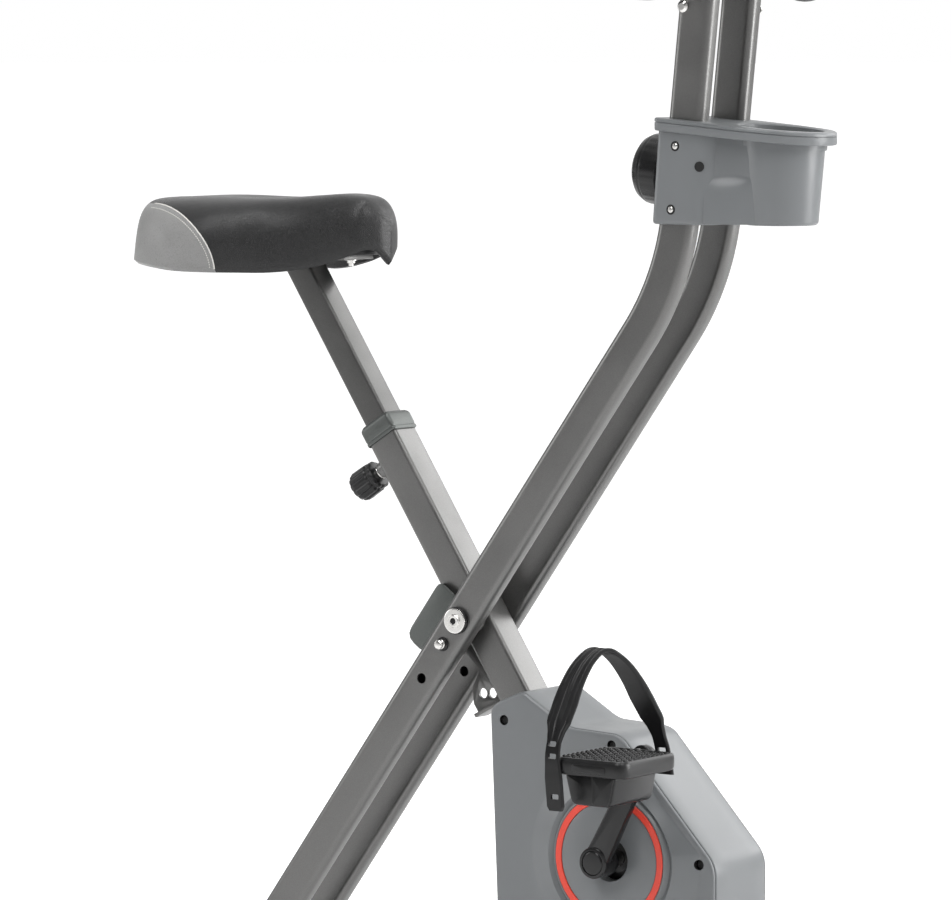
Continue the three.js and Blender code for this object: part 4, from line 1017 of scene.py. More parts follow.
    def wheel(self, place: Array, side: Side) -> None:
        """A transport wheel with a shallow tread, a dished face and a hub."""
        r, low, high = self.wheel_radius, self.foot_half - 12.6, self.foot_half + 4
        profile = [(0, low), (6, low), (6, low + 2), (r - 5, low + 2), (r - 4, low), (r - 1, low), (r, low + 1.5),
                   (r, low + 6.5), (r - 0.9, low + 7.2), (r - 0.9, high - 7.4), (r, high - 6.6), (r, high - 1.5),
                   (r - 1, high), (r - 4, high), (r - 5, high - 2.5), (7, high - 2.5), (6, high), (0, high)]
        piece = Piece(f"transport_wheel_{side.label}", f"wheel_{side.label}",
                      [Finishes.rubber.material(), Finishes.chrome.material()], "black_rubber",
                      (f"wheel_{side.label}",))
        at = [place[0] + self.wheel_ahead, 0, place[1] + self.wheel_rise]
        piece.add(poled(turned(eased(profile, 0.5, 2), 48)) * [1, side.sign, 1] + at)
        axle = poled(turned(eased([(4, low - 10.5), (4, high + 0.6), (3, high + 1.4), (0, high + 1.4)], 0.4), 24))
        piece.add(axle * [1, side.sign, 1] + at, finish=1)
        piece.build()

    def make(self) -> None:
        """Builds every tube and foot."""
        for side in Side:
            self.tube(side)
        self.leg()
        self.foot("front", "front_frame", self.front_foot)
        self.foot("rear", "rear_frame", self.rear_foot)


def beaded(loop: Array, radius: float, ripples: int = 26) -> Array:
    """A weld bead along a closed line: a round cord whose radius rises and falls as ripples do."""
    count = len(loop)
    tangent = np.roll(loop, -1, 0) - np.roll(loop, 1, 0)
    tangent /= np.linalg.norm(tangent, axis=1, keepdims=True)
    outward = loop - loop.mean(0)
    outward -= tangent * (outward * tangent).sum(1, keepdims=True)
    outward /= np.linalg.norm(outward, axis=1, keepdims=True)
    up = np.cross(tangent, outward)
    swell = radius * (1 + 0.12 * np.sin(np.arange(count) * TAU * ripples / count))
    turn = np.linspace(0, TAU, 10, endpoint=False)
    reach = swell[:, None, None]
    return loop[:, None] + reach * (np.cos(turn)[None, :, None] * outward[:, None]
                                    + np.sin(turn)[None, :, None] * up[:, None])


def weld_ring(radius: float, bead: float, count: int) -> Array:
    """A weld bead round a circle about Y."""
    circle = ring(radius, count)
    return beaded(np.stack([circle[:, 0], np.zeros(count), circle[:, 1]], axis=-1), bead, ripples=20)


# ---- pivot and fold lock ---------------------------------------------------------------------------


@dataclass
class PivotAndLock:
    """The pivot bolt with its washers and nut, the lock pin, its plunger and the two brackets."""

    outside: float = 47.85
    washer_radius: float = 13
    lock_along: float = -31.6
    pin_radius: float = 5

    @property
    def lock_place(self) -> list[float]:
        """The lock pin's place as (X, 0, Z)."""
        x, z = LAYOUT.on_lean(LAYOUT.tube_lean, self.lock_along)
        return [x, 0, z]

    def bolt(self) -> None:
        """A domed bolt on a bright washer, with a dark spacer under it."""
        o, w = self.outside, self.washer_radius
        piece = Piece("pivot_bolt_bright", "rear_frame",
                      [Finishes.chrome.material(), Finishes.satin_black.material(), Finishes.pit_black.material()],
                      "zinc", ("pivot_bolt",))
        spacer = turned(eased([(6, o + 0.1), (w + 1.0, o + 0.1), (w + 1.0, o + 4.4), (6, o + 4.4)], 0.5), 64)
        piece.add(spacer * [1, -1, 1], wrap_u=True, finish=1)
        washer = turned(eased([(6, o + 4.4), (w, o + 4.4), (w, o + 5.7), (w - 1, o + 5.9), (6, o + 5.9)], 0.3), 64)
        piece.add(washer * [1, -1, 1], wrap_u=True)
        head = turned(eased([(7.0, o + 5.9), (7.0, o + 7), (5.9, o + 8.2), (3.4, o + 8.2), (3.2, o + 5.9),
                             (0.01, o + 5.9)], 0.5), 48)
        piece.add(poled(head) * [1, -1, 1])
        # The hex socket is lined with painted shade.
        socket = turned([(3.15, o + 5.95), (3.15, o + 8.1), (0.01, o + 6.6)], 6)
        piece.add(poled(socket) * [1, -1, 1], finish=2)
        shank = turned([(5.9, -o - 3), (5.9, o + 12), (5.0, o + 12.8), (0.01, o + 12.8)], 32)
        piece.add(poled(shank))
        piece.build()

    def nut(self) -> None:
        """A six-sided nut with a round flange, on the left."""
        o = self.outside + 0.3
        piece = Piece("pivot_nut_hex", "rear_frame", [Finishes.chrome.material()], "zinc", ("pivot_nut",))
        piece.add(turned(eased([(6.3, o), (13, o), (13, o + 1.4), (12.2, o + 2), (6.3, o + 2)], 0.3), 64),
                  wrap_u=True)
        outline = rounded([(9.8 * math.cos(TAU * k / 6), 9.8 * math.sin(TAU * k / 6), 0.8) for k in range(6)], 4)
        low, high = o + 2, o + 10
        rows = [(0.62, low), (0.96, low), (1, low + 0.8), (1, high - 1), (0.9, high), (0.66, high), (0.64, low)]
        grid = np.stack([np.stack([outline[:, 0] * k, np.full(len(outline), y), outline[:, 1] * k], axis=-1)
                         for k, y in rows])
        piece.add(grid, wrap_u=True)
        piece.build()

    def pin(self) -> None:
        """The bright domed end of the lock pin, with a groove behind its head."""
        r, o = self.pin_radius, self.outside
        rows = [(0, o - 20), (r, o - 20), (r, o + 4), (r - 1.1, o + 4.5), (r - 1.1, o + 5.7), (r, o + 6.2),
                (r, o + 8.2), (r - 1.2, o + 9.6), (0, o + 10)]
        piece = Piece("lock_pin_dome", "rear_frame",
                      [Finishes.chrome.material(), Finishes.satin_black.material()], "zinc", ("lock_pin_end",))
        piece.add(poled(turned(eased(rows, 0.5), 40)) * [1, -1, 1] + self.lock_place)
        collar = turned(eased([(r + 0.1, o + 0.05), (r + 2.6, o + 0.05), (r + 2.2, o + 1.2), (r + 0.1, o + 1.2)],
                              0.3), 40)
        piece.add(collar * [1, -1, 1] + self.lock_place, wrap_u=True, finish=1)
        piece.build()

    def plunger(self) -> None:
        """The sleeve welded to the left tube and the fluted pull knob on the plunger."""
        r, o = self.pin_radius, self.outside
        sleeve = Piece("plunger_barrel", "rear_frame", [Finishes.chrome.material()], "zinc", ("plunger_sleeve",))
        rows = [(r + 0.4, o + 0.3), (9, o + 0.3), (9, o + 7), (8.2, o + 8), (r + 0.4, o + 8)]
        sleeve.add(turned(eased(rows, 0.4), 40) + self.lock_place, wrap_u=True)
        sleeve.build()
        knob = Piece("plunger_pull_knob", "lock_plunger",
                     [Finishes.black_plastic.material(), Finishes.chrome.material()],
                     "black_plastic", ("lock_plunger",))
        knob.add(fluted([(r, o + 8.5), (10.6, o + 8.5), (11.8, o + 10.5), (11.8, o + 21), (10.6, o + 24.5),
                         (7.5, o + 26), (0, o + 26)], 10, 0.9) + self.lock_place)
        knob.add(poled(turned([(r - 1, -0.4), (r, 1), (r, o + 9)], 32)) + self.lock_place, finish=1)
        knob.build()

    def make(self) -> None:
        """Builds the pivot, the lock and the brackets."""
        self.bolt()
        self.nut()
        self.pin()
        self.plunger()
        softened("stop_bracket", Finishes.bracket.material(), "frame_paint", 0.7)
        softened("lock_bracket", Finishes.frame_paint.material(), "frame_paint", 0.5)


def fluted(profile: Sequence[Sequence[float]], flutes: int, depth: float, sides: int = 120) -> Array:
    """A knob about Y whose rim is cut by round flutes.

    The radius is the profile's, less `depth` times the sixth power of a wave round the knob; near the
    axis the flutes fade away.

    Args:
        profile: Rows of (radius, height).
        flutes: How many flutes there are.
        depth: How deep they are.
        sides: Points round the knob.

    Returns:
        A closed grid of rings.
    """
    grid = turned(eased(profile, 0.8), sides)
    radius = np.hypot(grid[..., 0], grid[..., 2])
    turn = np.arctan2(grid[..., 2], grid[..., 0])
    fade = np.clip(radius / np.max(radius), 0, 1) ** 6
    scale = 1 - depth * fade * np.abs(np.sin(turn * flutes / 2)) ** 6 / np.maximum(radius, 1)
    return poled(np.stack([grid[..., 0] * scale, grid[..., 1], grid[..., 2] * scale], axis=-1))


# ---- seat ------------------------------------------------------------------------------------------


@dataclass
class Seat:
    """The post, its collar and knob, and the saddle with its sewn cover."""

    rear: float = -412
    nose: float = -119
    half_width: float = 107
    post_size: float = 30
    post_low: float = 118
    collar_low: float = 217
    collar_high: float = 238
    knob_along: float = 193
    seam_centre: tuple[float, float] = (-370, 357)
    seam_reach: tuple[float, float] = (86, 66)

    def post(self) -> None:
        """The square post, cut level under the saddle, with its row of holes at the back; its paint is darker than the
        frame's as painted shade from the saddle.
        """
        rise = np.linspace(self.post_low, 436, 50)
        path = np.stack([np.zeros(50), np.zeros(50), rise], axis=-1)
        outer = swept(oval(self.post_size, self.post_size, 3.2), path)
        inner = swept(oval(self.post_size - 4, self.post_size - 4, 1.6), path)
        tube = LAYOUT.leaning(-LAYOUT.seat_lean, (0, 0), np.concatenate([outer, inner[::-1]]))
        top = 364.5
        drop = np.maximum(tube[..., 2] - top, 0) / math.cos(LAYOUT.seat_lean)
        tube -= drop[..., None] * np.array([-math.sin(LAYOUT.seat_lean), 0, math.cos(LAYOUT.seat_lean)])
        # The post's darker paint is painted shade standing in for the saddle's shadow.
        piece = Piece("square_post", "seat", [Finishes.post_paint.material()], "post_paint", ("seat_post",))
        obj = piece.add(tube, wrap_u=True).build()
        pin = along_axis(poled(turned([(4.2, 10), (4.2, 20)], 28)), (-1, 0, 0))
        tools = [LAYOUT.leaning(-LAYOUT.seat_lean, (0, 0), pin + [0, 0, self.knob_along - 60 + 20 * k])
                 for k in range(8)]
        # The holes' walls take the painted hole shade.
        drilled(obj, tools, Finishes.pit_black.material())

    def collar(self) -> None:
        """The plastic collar on the leg: a skirt with a lip, a shoulder and a bore for the post."""
        low, high = self.collar_low, self.collar_high
        rows = [(19.4, low - 1), (20.6, low - 0.6), (21.1, low + 0.6), (20.9, low + 2.6), (20.3, low + 3.2),
                (20.6, low + 3.9), (20.9, low + 5), (20.9, high - 5), (20.4, high - 3), (18.6, high - 0.6),
                (17.4, high), (15.6, high), (15.4, high - 1), (15.4, low), (19.4, low)]
        rings = [np.column_stack([oval(2 * r, 2 * r, 4.6 if r > 17 else 3.4, 10), np.full(44, z)])
                 for r, z in rows]
        grid = np.stack(rings)
        sag = np.where(grid[..., 2] < low + 4.5, -1.6 * (1 - (grid[..., 1:2][..., 0] / 21) ** 2), 0)
        grid[..., 2] += sag * (np.abs(grid[..., 0]) > 19)
        piece = Piece("seat_collar_moulded", "front_frame", [Finishes.bracket.material()], "black_plastic",
                      ("seat_collar",))
        piece.add(LAYOUT.leaning(-LAYOUT.seat_lean, (0, 0), grid), wrap_u=True)
        piece.build()

    def knob(self) -> None:
        """The fluted pull knob, its bright neck and its cap."""
        lean = -LAYOUT.seat_lean
        head = fluted([(4.6, 36), (13.5, 36), (15.6, 38), (15.6, 41), (14.6, 42), (14.6, 43), (16.4, 45), (16.8, 62),
                       (15.2, 66.5), (11, 68), (9.5, 67.2), (0, 67.2)], 12, 1.7, 168)
        neck = turned(eased([(0, 20), (4.2, 20), (4.2, 31.5), (8.2, 31.5), (8.2, 33.5), (6.6, 33.5), (6.6, 36.4),
                             (0, 36.4)], 0.4), 48)
        piece = Piece("seat_pull_knob", "seat_knob", [Finishes.black_plastic.material(), Finishes.chrome.material()],
                      "black_plastic", ("seat_knob",))
        for grid, finish in ((head, 0), (poled(neck), 1)):
            place = along_axis(grid, (-1, 0, 0)) + [0, 0, self.knob_along]
            piece.add(LAYOUT.leaning(lean, (0, 0), place), finish=finish)
        piece.build()

    def cover_point(self, along: Array, turn: Array) -> Array:
        """The saddle's cover as a function of two parameters.

        Across the saddle the cover is a superellipse from skirt to skirt. Its half width, crown height
        and skirt height are smooth functions of the distance along the saddle.

        Args:
            along: 0 at the back and 1 at the nose.
            turn: 0 at the right skirt, pi / 2 on the crown, pi at the left skirt.

        Returns:
            Points in millimetres.
        """
        stations = np.array([0, 0.015, 0.05, 0.12, 0.22, 0.34, 0.46, 0.58, 0.7, 0.82, 0.91, 0.955, 0.985, 1.0])
        widths = np.array([0.62, 0.72, 0.84, 0.945, 1.0, 0.95, 0.79, 0.60, 0.465, 0.385, 0.325, 0.25, 0.15, 0.0])
        crowns = np.array([424, 427.5, 429, 430, 430.6, 430.8, 431, 431.6, 433.4, 435.2, 432.5, 424, 411, 396.0])
        skirts = np.array([363.5, 363, 362, 359.8, 357.2, 356.2, 356.0, 356.2, 360.0, 367.5, 376.5, 381, 378, 365.0])
        table = flowing(np.stack([stations, widths, crowns / 100, skirts / 100], axis=-1), 600)
        order = np.maximum.accumulate(table[:, 0] + np.arange(600) * 1e-9)
        width = self.half_width * np.interp(along, order, np.maximum(table[:, 1], 0))
        crown = 100 * np.interp(along, order, table[:, 2])
        skirt = 100 * np.interp(along, order, table[:, 3])
        cos, sin = np.cos(turn), np.sin(turn)
        boxy = 0.24 * np.exp(-((along / 0.25) ** 2))
        y = -width * np.sign(cos) * np.abs(cos) ** (0.6 - boxy)
        lift = np.abs(sin) ** (0.68 - 1.2 * boxy)
        dish = 3.2 * np.exp(-((y / 26) ** 2)) * np.exp(-(((along - 0.36) / 0.2) ** 2))
        z = skirt + (crown - skirt) * lift - dish
        tuck = 5 * (1 - lift) ** 3
        y = y * (1 - tuck / np.maximum(self.half_width, 1))
        back = 17 * (1 - along) ** 9 * (1 - lift)
        x = self.rear + 17 - back + (self.nose - self.rear - 17) * along
        return np.stack([x, y, z], axis=-1)

    def saddle(self) -> None:
        """The cover, closed by the edge that is folded under and by the hollow beneath it."""
        s = np.linspace(0, 1, 150)
        along = (0.5 - 0.5 * np.cos(math.pi * s)) * 0.5 + s * 0.5
        turn = np.linspace(0, math.pi, 90)
        cover = self.cover_point(along[:, None], turn[None, :])
        inner_x = -268 + (cover[..., 0] + 268) * 0.955
        inner = np.stack([inner_x, cover[..., 1] * 0.93, np.minimum(cover[..., 2] - 3.0, 384)], axis=-1)
        fold = 0.5 * (cover + inner)
        fold[..., 2] = np.minimum(cover[..., 2], inner[..., 2]) - 0.8
        piece = Piece("saddle_cover", "seat", [saddle_hide(self).material(), Finishes.pan.material()], "seat_cover",
                      ("saddle_pad",), crease=60)
        ring_grid = np.concatenate([cover, fold[:, -1:], inner[:, ::-1], fold[:, :1]], axis=1)
        rings = np.concatenate([np.broadcast_to(ring_grid[:1].mean(1, keepdims=True), ring_grid[:1].shape),
                                ring_grid])
        piece.add(rings)
        obj = piece.build()
        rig.padded(obj, fill=0.8)

    def seam_line(self, side: Side, grow: float = 0.0, count: int = 220) -> Array:
        """The sewn seam on one side: where the cover crosses an ellipse drawn in X and Z.

        Args:
            side: Which side of the saddle.
            grow: How far outside the seam the line runs.
            count: Points along the line.

        Returns:
            Points on the cover.
        """
        angle = np.linspace(-0.02, math.pi / 2, count)
        x = self.seam_centre[0] + (self.seam_reach[0] + grow) * np.cos(angle)
        z = self.seam_centre[1] + (self.seam_reach[1] + grow) * np.sin(angle)
        turns = np.linspace(0, math.pi / 2, 260)
        along = (x - self.rear - 17) / (self.nose - self.rear - 17)
        surface = self.cover_point(along[:, None], turns[None, :])
        nearest = np.abs(surface[..., 2] - z[:, None]).argmin(1)
        line = surface[np.arange(count), nearest]
        line[:, 1] *= -side.sign * np.sign(line[:1, 1])
        line[:, 1] = side.sign * np.abs(line[:, 1])
        return line

    def sewing(self) -> None:
        """The pale piping on the seam and the row of stitches beside it."""
        piece = Piece("saddle_stitching", "seat", [Finishes.thread.material()], "seat_cover")
        for side in Side:
            line = resampled(self.seam_line(side), 160)
            piece.add(poled(cord_round(line, 0.75)))
            stitch_line = resampled(self.seam_line(side, -4.2), 400)
            for start in range(4, 392, 9):
                piece.add(poled(cord_round(stitch_line[start:start + 6], 0.5, 6)))
        piece.build()

    def under(self) -> None:
        """The pan under the cover, the plate on the post and the bolts that hold it."""
        paint = Finishes.frame_paint.material()
        softened("saddle_shell", Finishes.pan.material(), "black_plastic", 1.0)
        softened("seat_plate", paint, "frame_paint", 0.6)
        piece = Piece("saddle_nuts", "seat", [Finishes.chrome.material()], "zinc")
        nut = poled(turned(eased([(0, 0), (8, 0), (8, -1.5), (5.6, -1.6), (5.6, -6), (3.4, -6), (3.4, -11), (0, -11)],
                                 0.3), 30))
        nut = along_axis(nut, (0, 0, 1))
        for x in (-172, -274):
            piece.add(nut * [0.8, 0.8, 0.62] + [x, 0, 365.8])
        piece.build()

    def make(self) -> None:
        """Builds the post, collar, knob and saddle."""
        self.post()
        self.collar()
        self.knob()
        self.saddle()
        self.sewing()
        self.under()


def cord_round(line: Array, radius: float, sides: int = 8) -> Array:
    """A round cord along an open line, with its section square to the line."""
    tangent = np.gradient(line, axis=0)
    tangent /= np.linalg.norm(tangent, axis=1, keepdims=True)
    helper = np.array([0.31, 0.11, 0.94])
    first = np.cross(tangent, helper)
    first /= np.linalg.norm(first, axis=1, keepdims=True)
    second = np.cross(tangent, first)
    turn = np.linspace(0, TAU, sides, endpoint=False)
    return line[:, None] + radius * (np.cos(turn)[None, :, None] * first[:, None]
                                     + np.sin(turn)[None, :, None] * second[:, None])


@dataclass(frozen=True)
class TwoToneHide(Finish):
    """Black hide with a pale panel at the back, bounded by an ellipse in X and Z."""

    panel: Colour = (0.25, 0.249, 0.246)
    centre: tuple[float, float] = (0.0, 0.0)
    reach: tuple[float, float] = (1.0, 1.0)

    def base(self, tree: bpy.types.NodeTree, place: bpy.types.NodeSocket) -> bpy.types.NodeSocket:
        """Panel colour where (x/a)^2 + (z/b)^2 is under 1, or where x is behind the ellipse's middle."""
        split = tree.nodes.new("ShaderNodeSeparateXYZ")
        tree.links.new(place, split.inputs[0])

        def math_node(operation: str, first: object, second: object) -> bpy.types.NodeSocket:
            """One step of arithmetic; either side may be a socket or a number."""
            node = tree.nodes.new("ShaderNodeMath")
            node.operation = operation
            for index, value in enumerate((first, second)):
                if isinstance(value, bpy.types.NodeSocket):
                    tree.links.new(value, node.inputs[index])
                else:
                    node.inputs[index].default_value = value
            return node.outputs[0]

        ahead = math_node("SUBTRACT", split.outputs["X"], self.centre[0])
        ahead = math_node("MAXIMUM", ahead, 0.0)
        ahead = math_node("DIVIDE", ahead, self.reach[0])
        above = math_node("SUBTRACT", split.outputs["Z"], self.centre[1])
        above = math_node("DIVIDE", above, self.reach[1])
        square = math_node("ADD", math_node("POWER", ahead, 2.0), math_node("POWER", above, 2.0))
        inside = math_node("LESS_THAN", square, 1.0)
        mix = tree.nodes.new("ShaderNodeMix")
        mix.data_type = "RGBA"
        tree.links.new(inside, mix.inputs["Factor"])
        mix.inputs["A"].default_value = (*self.colour, 1)
        mix.inputs["B"].default_value = (*self.panel, 1)
        return mix.outputs["Result"]


def saddle_hide(seat: Seat) -> TwoToneHide:
    """The saddle's two-tone hide, with the panel's edge at the seat's seam."""
    x, z = seat.seam_centre
    centre = LAYOUT.place([x, 0, z])
    return TwoToneHide("saddle hide", (0.006, 0.006, 0.0065), 0.34, grain=Grain.HIDE, grain_size=760,
                       grain_depth=0.2, grain_tint=0.12, coat=0.2, coat_roughness=0.3, wear_gloss=0.06, dust=0.004,
                       specular=0.4,
                       centre=(float(centre[0]), float(centre[2])),
                       reach=(seat.seam_reach[0] * MM, seat.seam_reach[1] * MM))


# ---- cranks, pedals and straps ---------------------------------------------------------------------


@dataclass
class Crankset:
    """The axle end caps, the two crank arms, the pedals and their toe straps."""

    axle: tuple[float, float] = (197, -229)
    crank_angle: float = math.radians(62.4)
    crank_length: float = 127
    arm_low: float = 76
    arm_high: float = 88
    boss_radius: float = 16
    boss_low: float = 64
    pedal_inner: float = 98
    pedal_outer: float = 196
    strap_skew: float = 0.62
    strap_rake: float = 0.09
    deck_ahead: float = 9

    def tip(self, side: Side) -> Array:
        """X and Z of a pedal's spindle."""
        turn = self.crank_angle + (0 if side is Side.RIGHT else math.pi)
        return np.array(self.axle) + self.crank_length * np.array([math.cos(turn), math.sin(turn)])

    def turned_arm(self, points: Array, side: Side) -> Array:
        """Turns a piece drawn with its arm along +X to the crank's angle and side."""
        turn = self.crank_angle + (0 if side is Side.RIGHT else math.pi)
        x = points[..., 0] * math.cos(turn) - points[..., 2] * math.sin(turn) + self.axle[0]
        z = points[..., 0] * math.sin(turn) + points[..., 2] * math.cos(turn) + self.axle[1]
        return np.stack([x, points[..., 1] * side.sign, z], axis=-1)

    def arm(self, side: Side) -> None:
        """A forged arm with a round boss, a capped end and an eye for the spindle."""
        piece = Piece(f"crank_arm_{side.label}", "crank",
                      [Finishes.satin_black.material(), Finishes.chrome.material()], "cast_iron",
                      (f"crank_{side.label}",))
        outline = rounded([(-12, -14.6, 11), (30, -12.6, 20), (100, -10.6, 20), (137.5, -10.8, 10.5),
                           (137.5, 10.8, 10.5), (100, 10.6, 20), (30, 12.6, 20), (-12, 14.6, 11)], 10)
        piece.add(self.turned_arm(extruded(outline, self.arm_low, self.arm_high, 2.6), side))
        r, low, high = self.boss_radius, self.boss_low, self.arm_high
        boss = turned(eased([(8.7, low), (r - 1, low), (r, low + 3), (r, high + 0.5), (r - 0.6, high + 1.6),
                             (r - 3.4, high + 2), (r - 3.8, high + 0.8), (0.01, high + 0.8)], 0.6), 64)
        piece.add(self.turned_arm(poled(boss), side))
        cap = turned(eased([(0.01, high + 2.4), (10.5, high + 2.2), (12, high + 1.4), (12, high + 0.4),
                            (0.01, high + 0.4)], 0.5), 48)
        piece.add(self.turned_arm(poled(cap), side))
        eye = turned(eased([(6.8, high - 0.5), (11.6, high - 0.5), (11.6, high + 0.6), (10.8, high + 1.2),
                            (6.8, high + 1.2)], 0.3), 48) + [self.crank_length, 0, 0]
        piece.add(self.turned_arm(eye, side), wrap_u=True)
        piece.build()

    def pedal(self, side: Side) -> None:
        """A pedal: a rim round a deck of small domes, over a weighted body on a spindle."""
        x, z = self.tip(side)
        middle = side.sign * (self.pedal_inner + self.pedal_outer) / 2
        half = (self.pedal_outer - self.pedal_inner) / 2
        piece = Piece(f"pedal_platform_{side.label}", f"pedal_{side.label}",
                      [Finishes.black_plastic.material(), Finishes.chrome.material(),
                       Finishes.satin_black.material()],
                      "black_plastic", (f"pedal_{side.label}",))
        rows = [(0.02, -8), (0.6, -8), (0.93, -8), (0.975, -7), (0.997, -4.5), (1.0, 0), (1.0, 4.5), (0.985, 7.6),
                (0.955, 9.2), (0.925, 9.2), (0.91, 8.4), (0.9, 6.2), (0.6, 6.0), (0.02, 6.0)]
        plan = rounded([(41.6, -half, 13), (41.6, half, 13), (-41.6, half, 13), (-41.6, -half, 13)], 10)
        grid = np.stack([np.column_stack([plan * k, np.full(len(plan), h)]) for k, h in rows])
        place = np.array([x, middle, z])
        deck = place + [self.deck_ahead, 0, 0]
        piece.add(poled(grid) + deck)
        across, ahead = np.meshgrid(np.arange(-half + 11, half - 9, 9.0), np.arange(-31, 32, 8.8))
        spots = np.stack([ahead.ravel(), across.ravel(), np.full(ahead.size, 6.0)], axis=-1)
        bump = along_axis(poled(turned([(3.7, -0.4), (3.5, 1.2), (2.8, 2.9), (1.5, 4.0), (0.5, 4.3)], 12)), (0, 0, 1))
        piece.add_many(bump, spots + deck, finish=2)
        edge = np.array([[s * 36.8, v] for s in (-1, 1) for v in np.arange(-half + 12, half - 11, 8.0)])
        teeth = np.column_stack([edge, np.full(len(edge), 8.4)])
        tooth = along_axis(poled(turned([(2.3, -0.6), (2.2, 0.6), (1.5, 1.7), (0.5, 2.1)], 10)), (0, 0, 1))
        piece.add_many(tooth, teeth + deck, finish=2)
        profile = rounded([(-31, -8, 4), (-22.5, -39.5, 9), (24.5, -39.5, 9), (31, -8, 4)], 8)
        body = extruded(profile, -half + 8.5, half - 16.5, 3.0)
        piece.add(body * [1, side.sign, 1] + place)
        rib = extruded(rounded([(2.2, -9, 1), (2.8, -38.5, 3), (22.5, -38.3, 8), (29, -9, 3)], 6),
                       half - 18, half - 15.2, 1.1)
        piece.add(rib * [1, side.sign, 1] + place)
        for sign in (-1, 1):
            slot = extruded(rounded([(-20, -4.2, 3), (20, -4.2, 3), (20, 3.4, 3), (-20, 3.4, 3)], 6), half - 1.2,
                            half + 0.6, 0.5)
            piece.add(slot * [1, sign, 1] + deck)
        spindle = turned(eased([(0, 77), (6, 77), (6, 90.5), (8.6, 90.5), (8.6, 94), (7.2, 95.5), (7.2, 100),
                                (0, 100)], 0.5), 40)
        piece.add(poled(spindle) * [1, side.sign, 1] + [x, 0, z], finish=1)
        piece.build()

    def strap(self, side: Side) -> None:
        """A moulded toe strap: a ribbed arch on two narrow legs with adjusting slots.

        The band's middle line is an arch in Y and Z. Its width and its ribs are functions of the way
        along it, and a shear sets the outer leg further back.
        """
        x, z = self.tip(side)
        middle = side.sign * (self.pedal_inner + self.pedal_outer) / 2
        half = (self.pedal_outer - self.pedal_inner) / 2 + 2.1
        inward, outward = -side.sign, side.sign
        rise = [(half, -8), (half - 1.0, 14), (half - 6.5, 36), (36, 58), (27.5, 79), (17.5, 97), (7, 108.5)]
        arch = flowing([(half * outward, -44), (half * outward, -26)]
                       + [(y * outward, z) for y, z in rise] + [(0, 111.3)]
                       + [(y * inward, z) for y, z in rise[::-1]] + [(half * inward, -14)], 260) * [side.sign, 1]
        height = arch[:, 1]
        width = np.interp(height, [-44, -40, -12, 2, 24, 34, 42, 62, 92, 112],
                          [14, 19, 19, 16.5, 15, 19, 26, 27, 23, 19])
        ribbed = np.interp(height, [20, 38, 46, 112], [0, 0.3, 1, 1])
        across = np.linspace(-1, 1, 41)
        rib = (np.exp(-(((np.abs(across) - 0.86) / 0.13) ** 4)) + np.exp(-((across / 0.2) ** 4)) * 0.8)
        tangent = np.gradient(arch, axis=0)
        tangent /= np.linalg.norm(tangent, axis=1, keepdims=True)
        normal = np.stack([tangent[:, 1], -tangent[:, 0]], axis=-1)
        edge = np.minimum(1, np.sqrt(np.clip(1 - np.abs(across) ** 14, 0, 1)) + 0.15)
        outer = 1.45 * edge[None, :] + 1.5 * ribbed[:, None] * rib[None, :]
        inner = np.broadcast_to(-1.45 * edge[None, :], outer.shape)
        section_x = 0.5 * width[:, None] * across[None, :]

        def skin(offset: Array) -> Array:
            """The band's surface a distance from its middle line."""
            y = arch[:, None, 0] + normal[:, None, 0] * offset
            up = arch[:, None, 1] + normal[:, None, 1] * offset
            shift = -self.strap_skew * y - self.strap_rake * up
            return np.stack([section_x + shift, side.sign * y, up], axis=-1)

        place = np.array([x, middle, z])
        band = np.concatenate([skin(outer), skin(inner)[:, ::-1]], axis=1)
        piece = Piece(f"toe_strap_{side.label}", f"pedal_{side.label}", [Finishes.strap_rubber.material()],
                      "black_rubber", (f"strap_{side.label}",), crease=50)
        obj = piece.add(poled(band) + place).build()
        slots = []
        for leg in (-1, 1):
            for height_up in (-30, 10, 22) if leg > 0 else (10,):
                y = leg * (half - 0.8)
                shape = rounded([(-4.6, -2.6, 1.6), (4.6, -2.6, 1.6), (4.6, 2.6, 1.6), (-4.6, 2.6, 1.6)], 5)
                shape = shape + [-self.strap_skew * y - self.strap_rake * height_up, height_up]
                slots.append(extruded(shape, y - 5, y + 5, 0.1) * [1, side.sign, 1] + place)
        drilled(obj, slots, Finishes.strap_rubber.material())

    def make(self) -> None:
        """Builds both sides."""
        for side in Side:
            self.arm(side)
            self.pedal(side)
            self.strap(side)


# ---- drive housing ---------------------------------------------------------------------------------


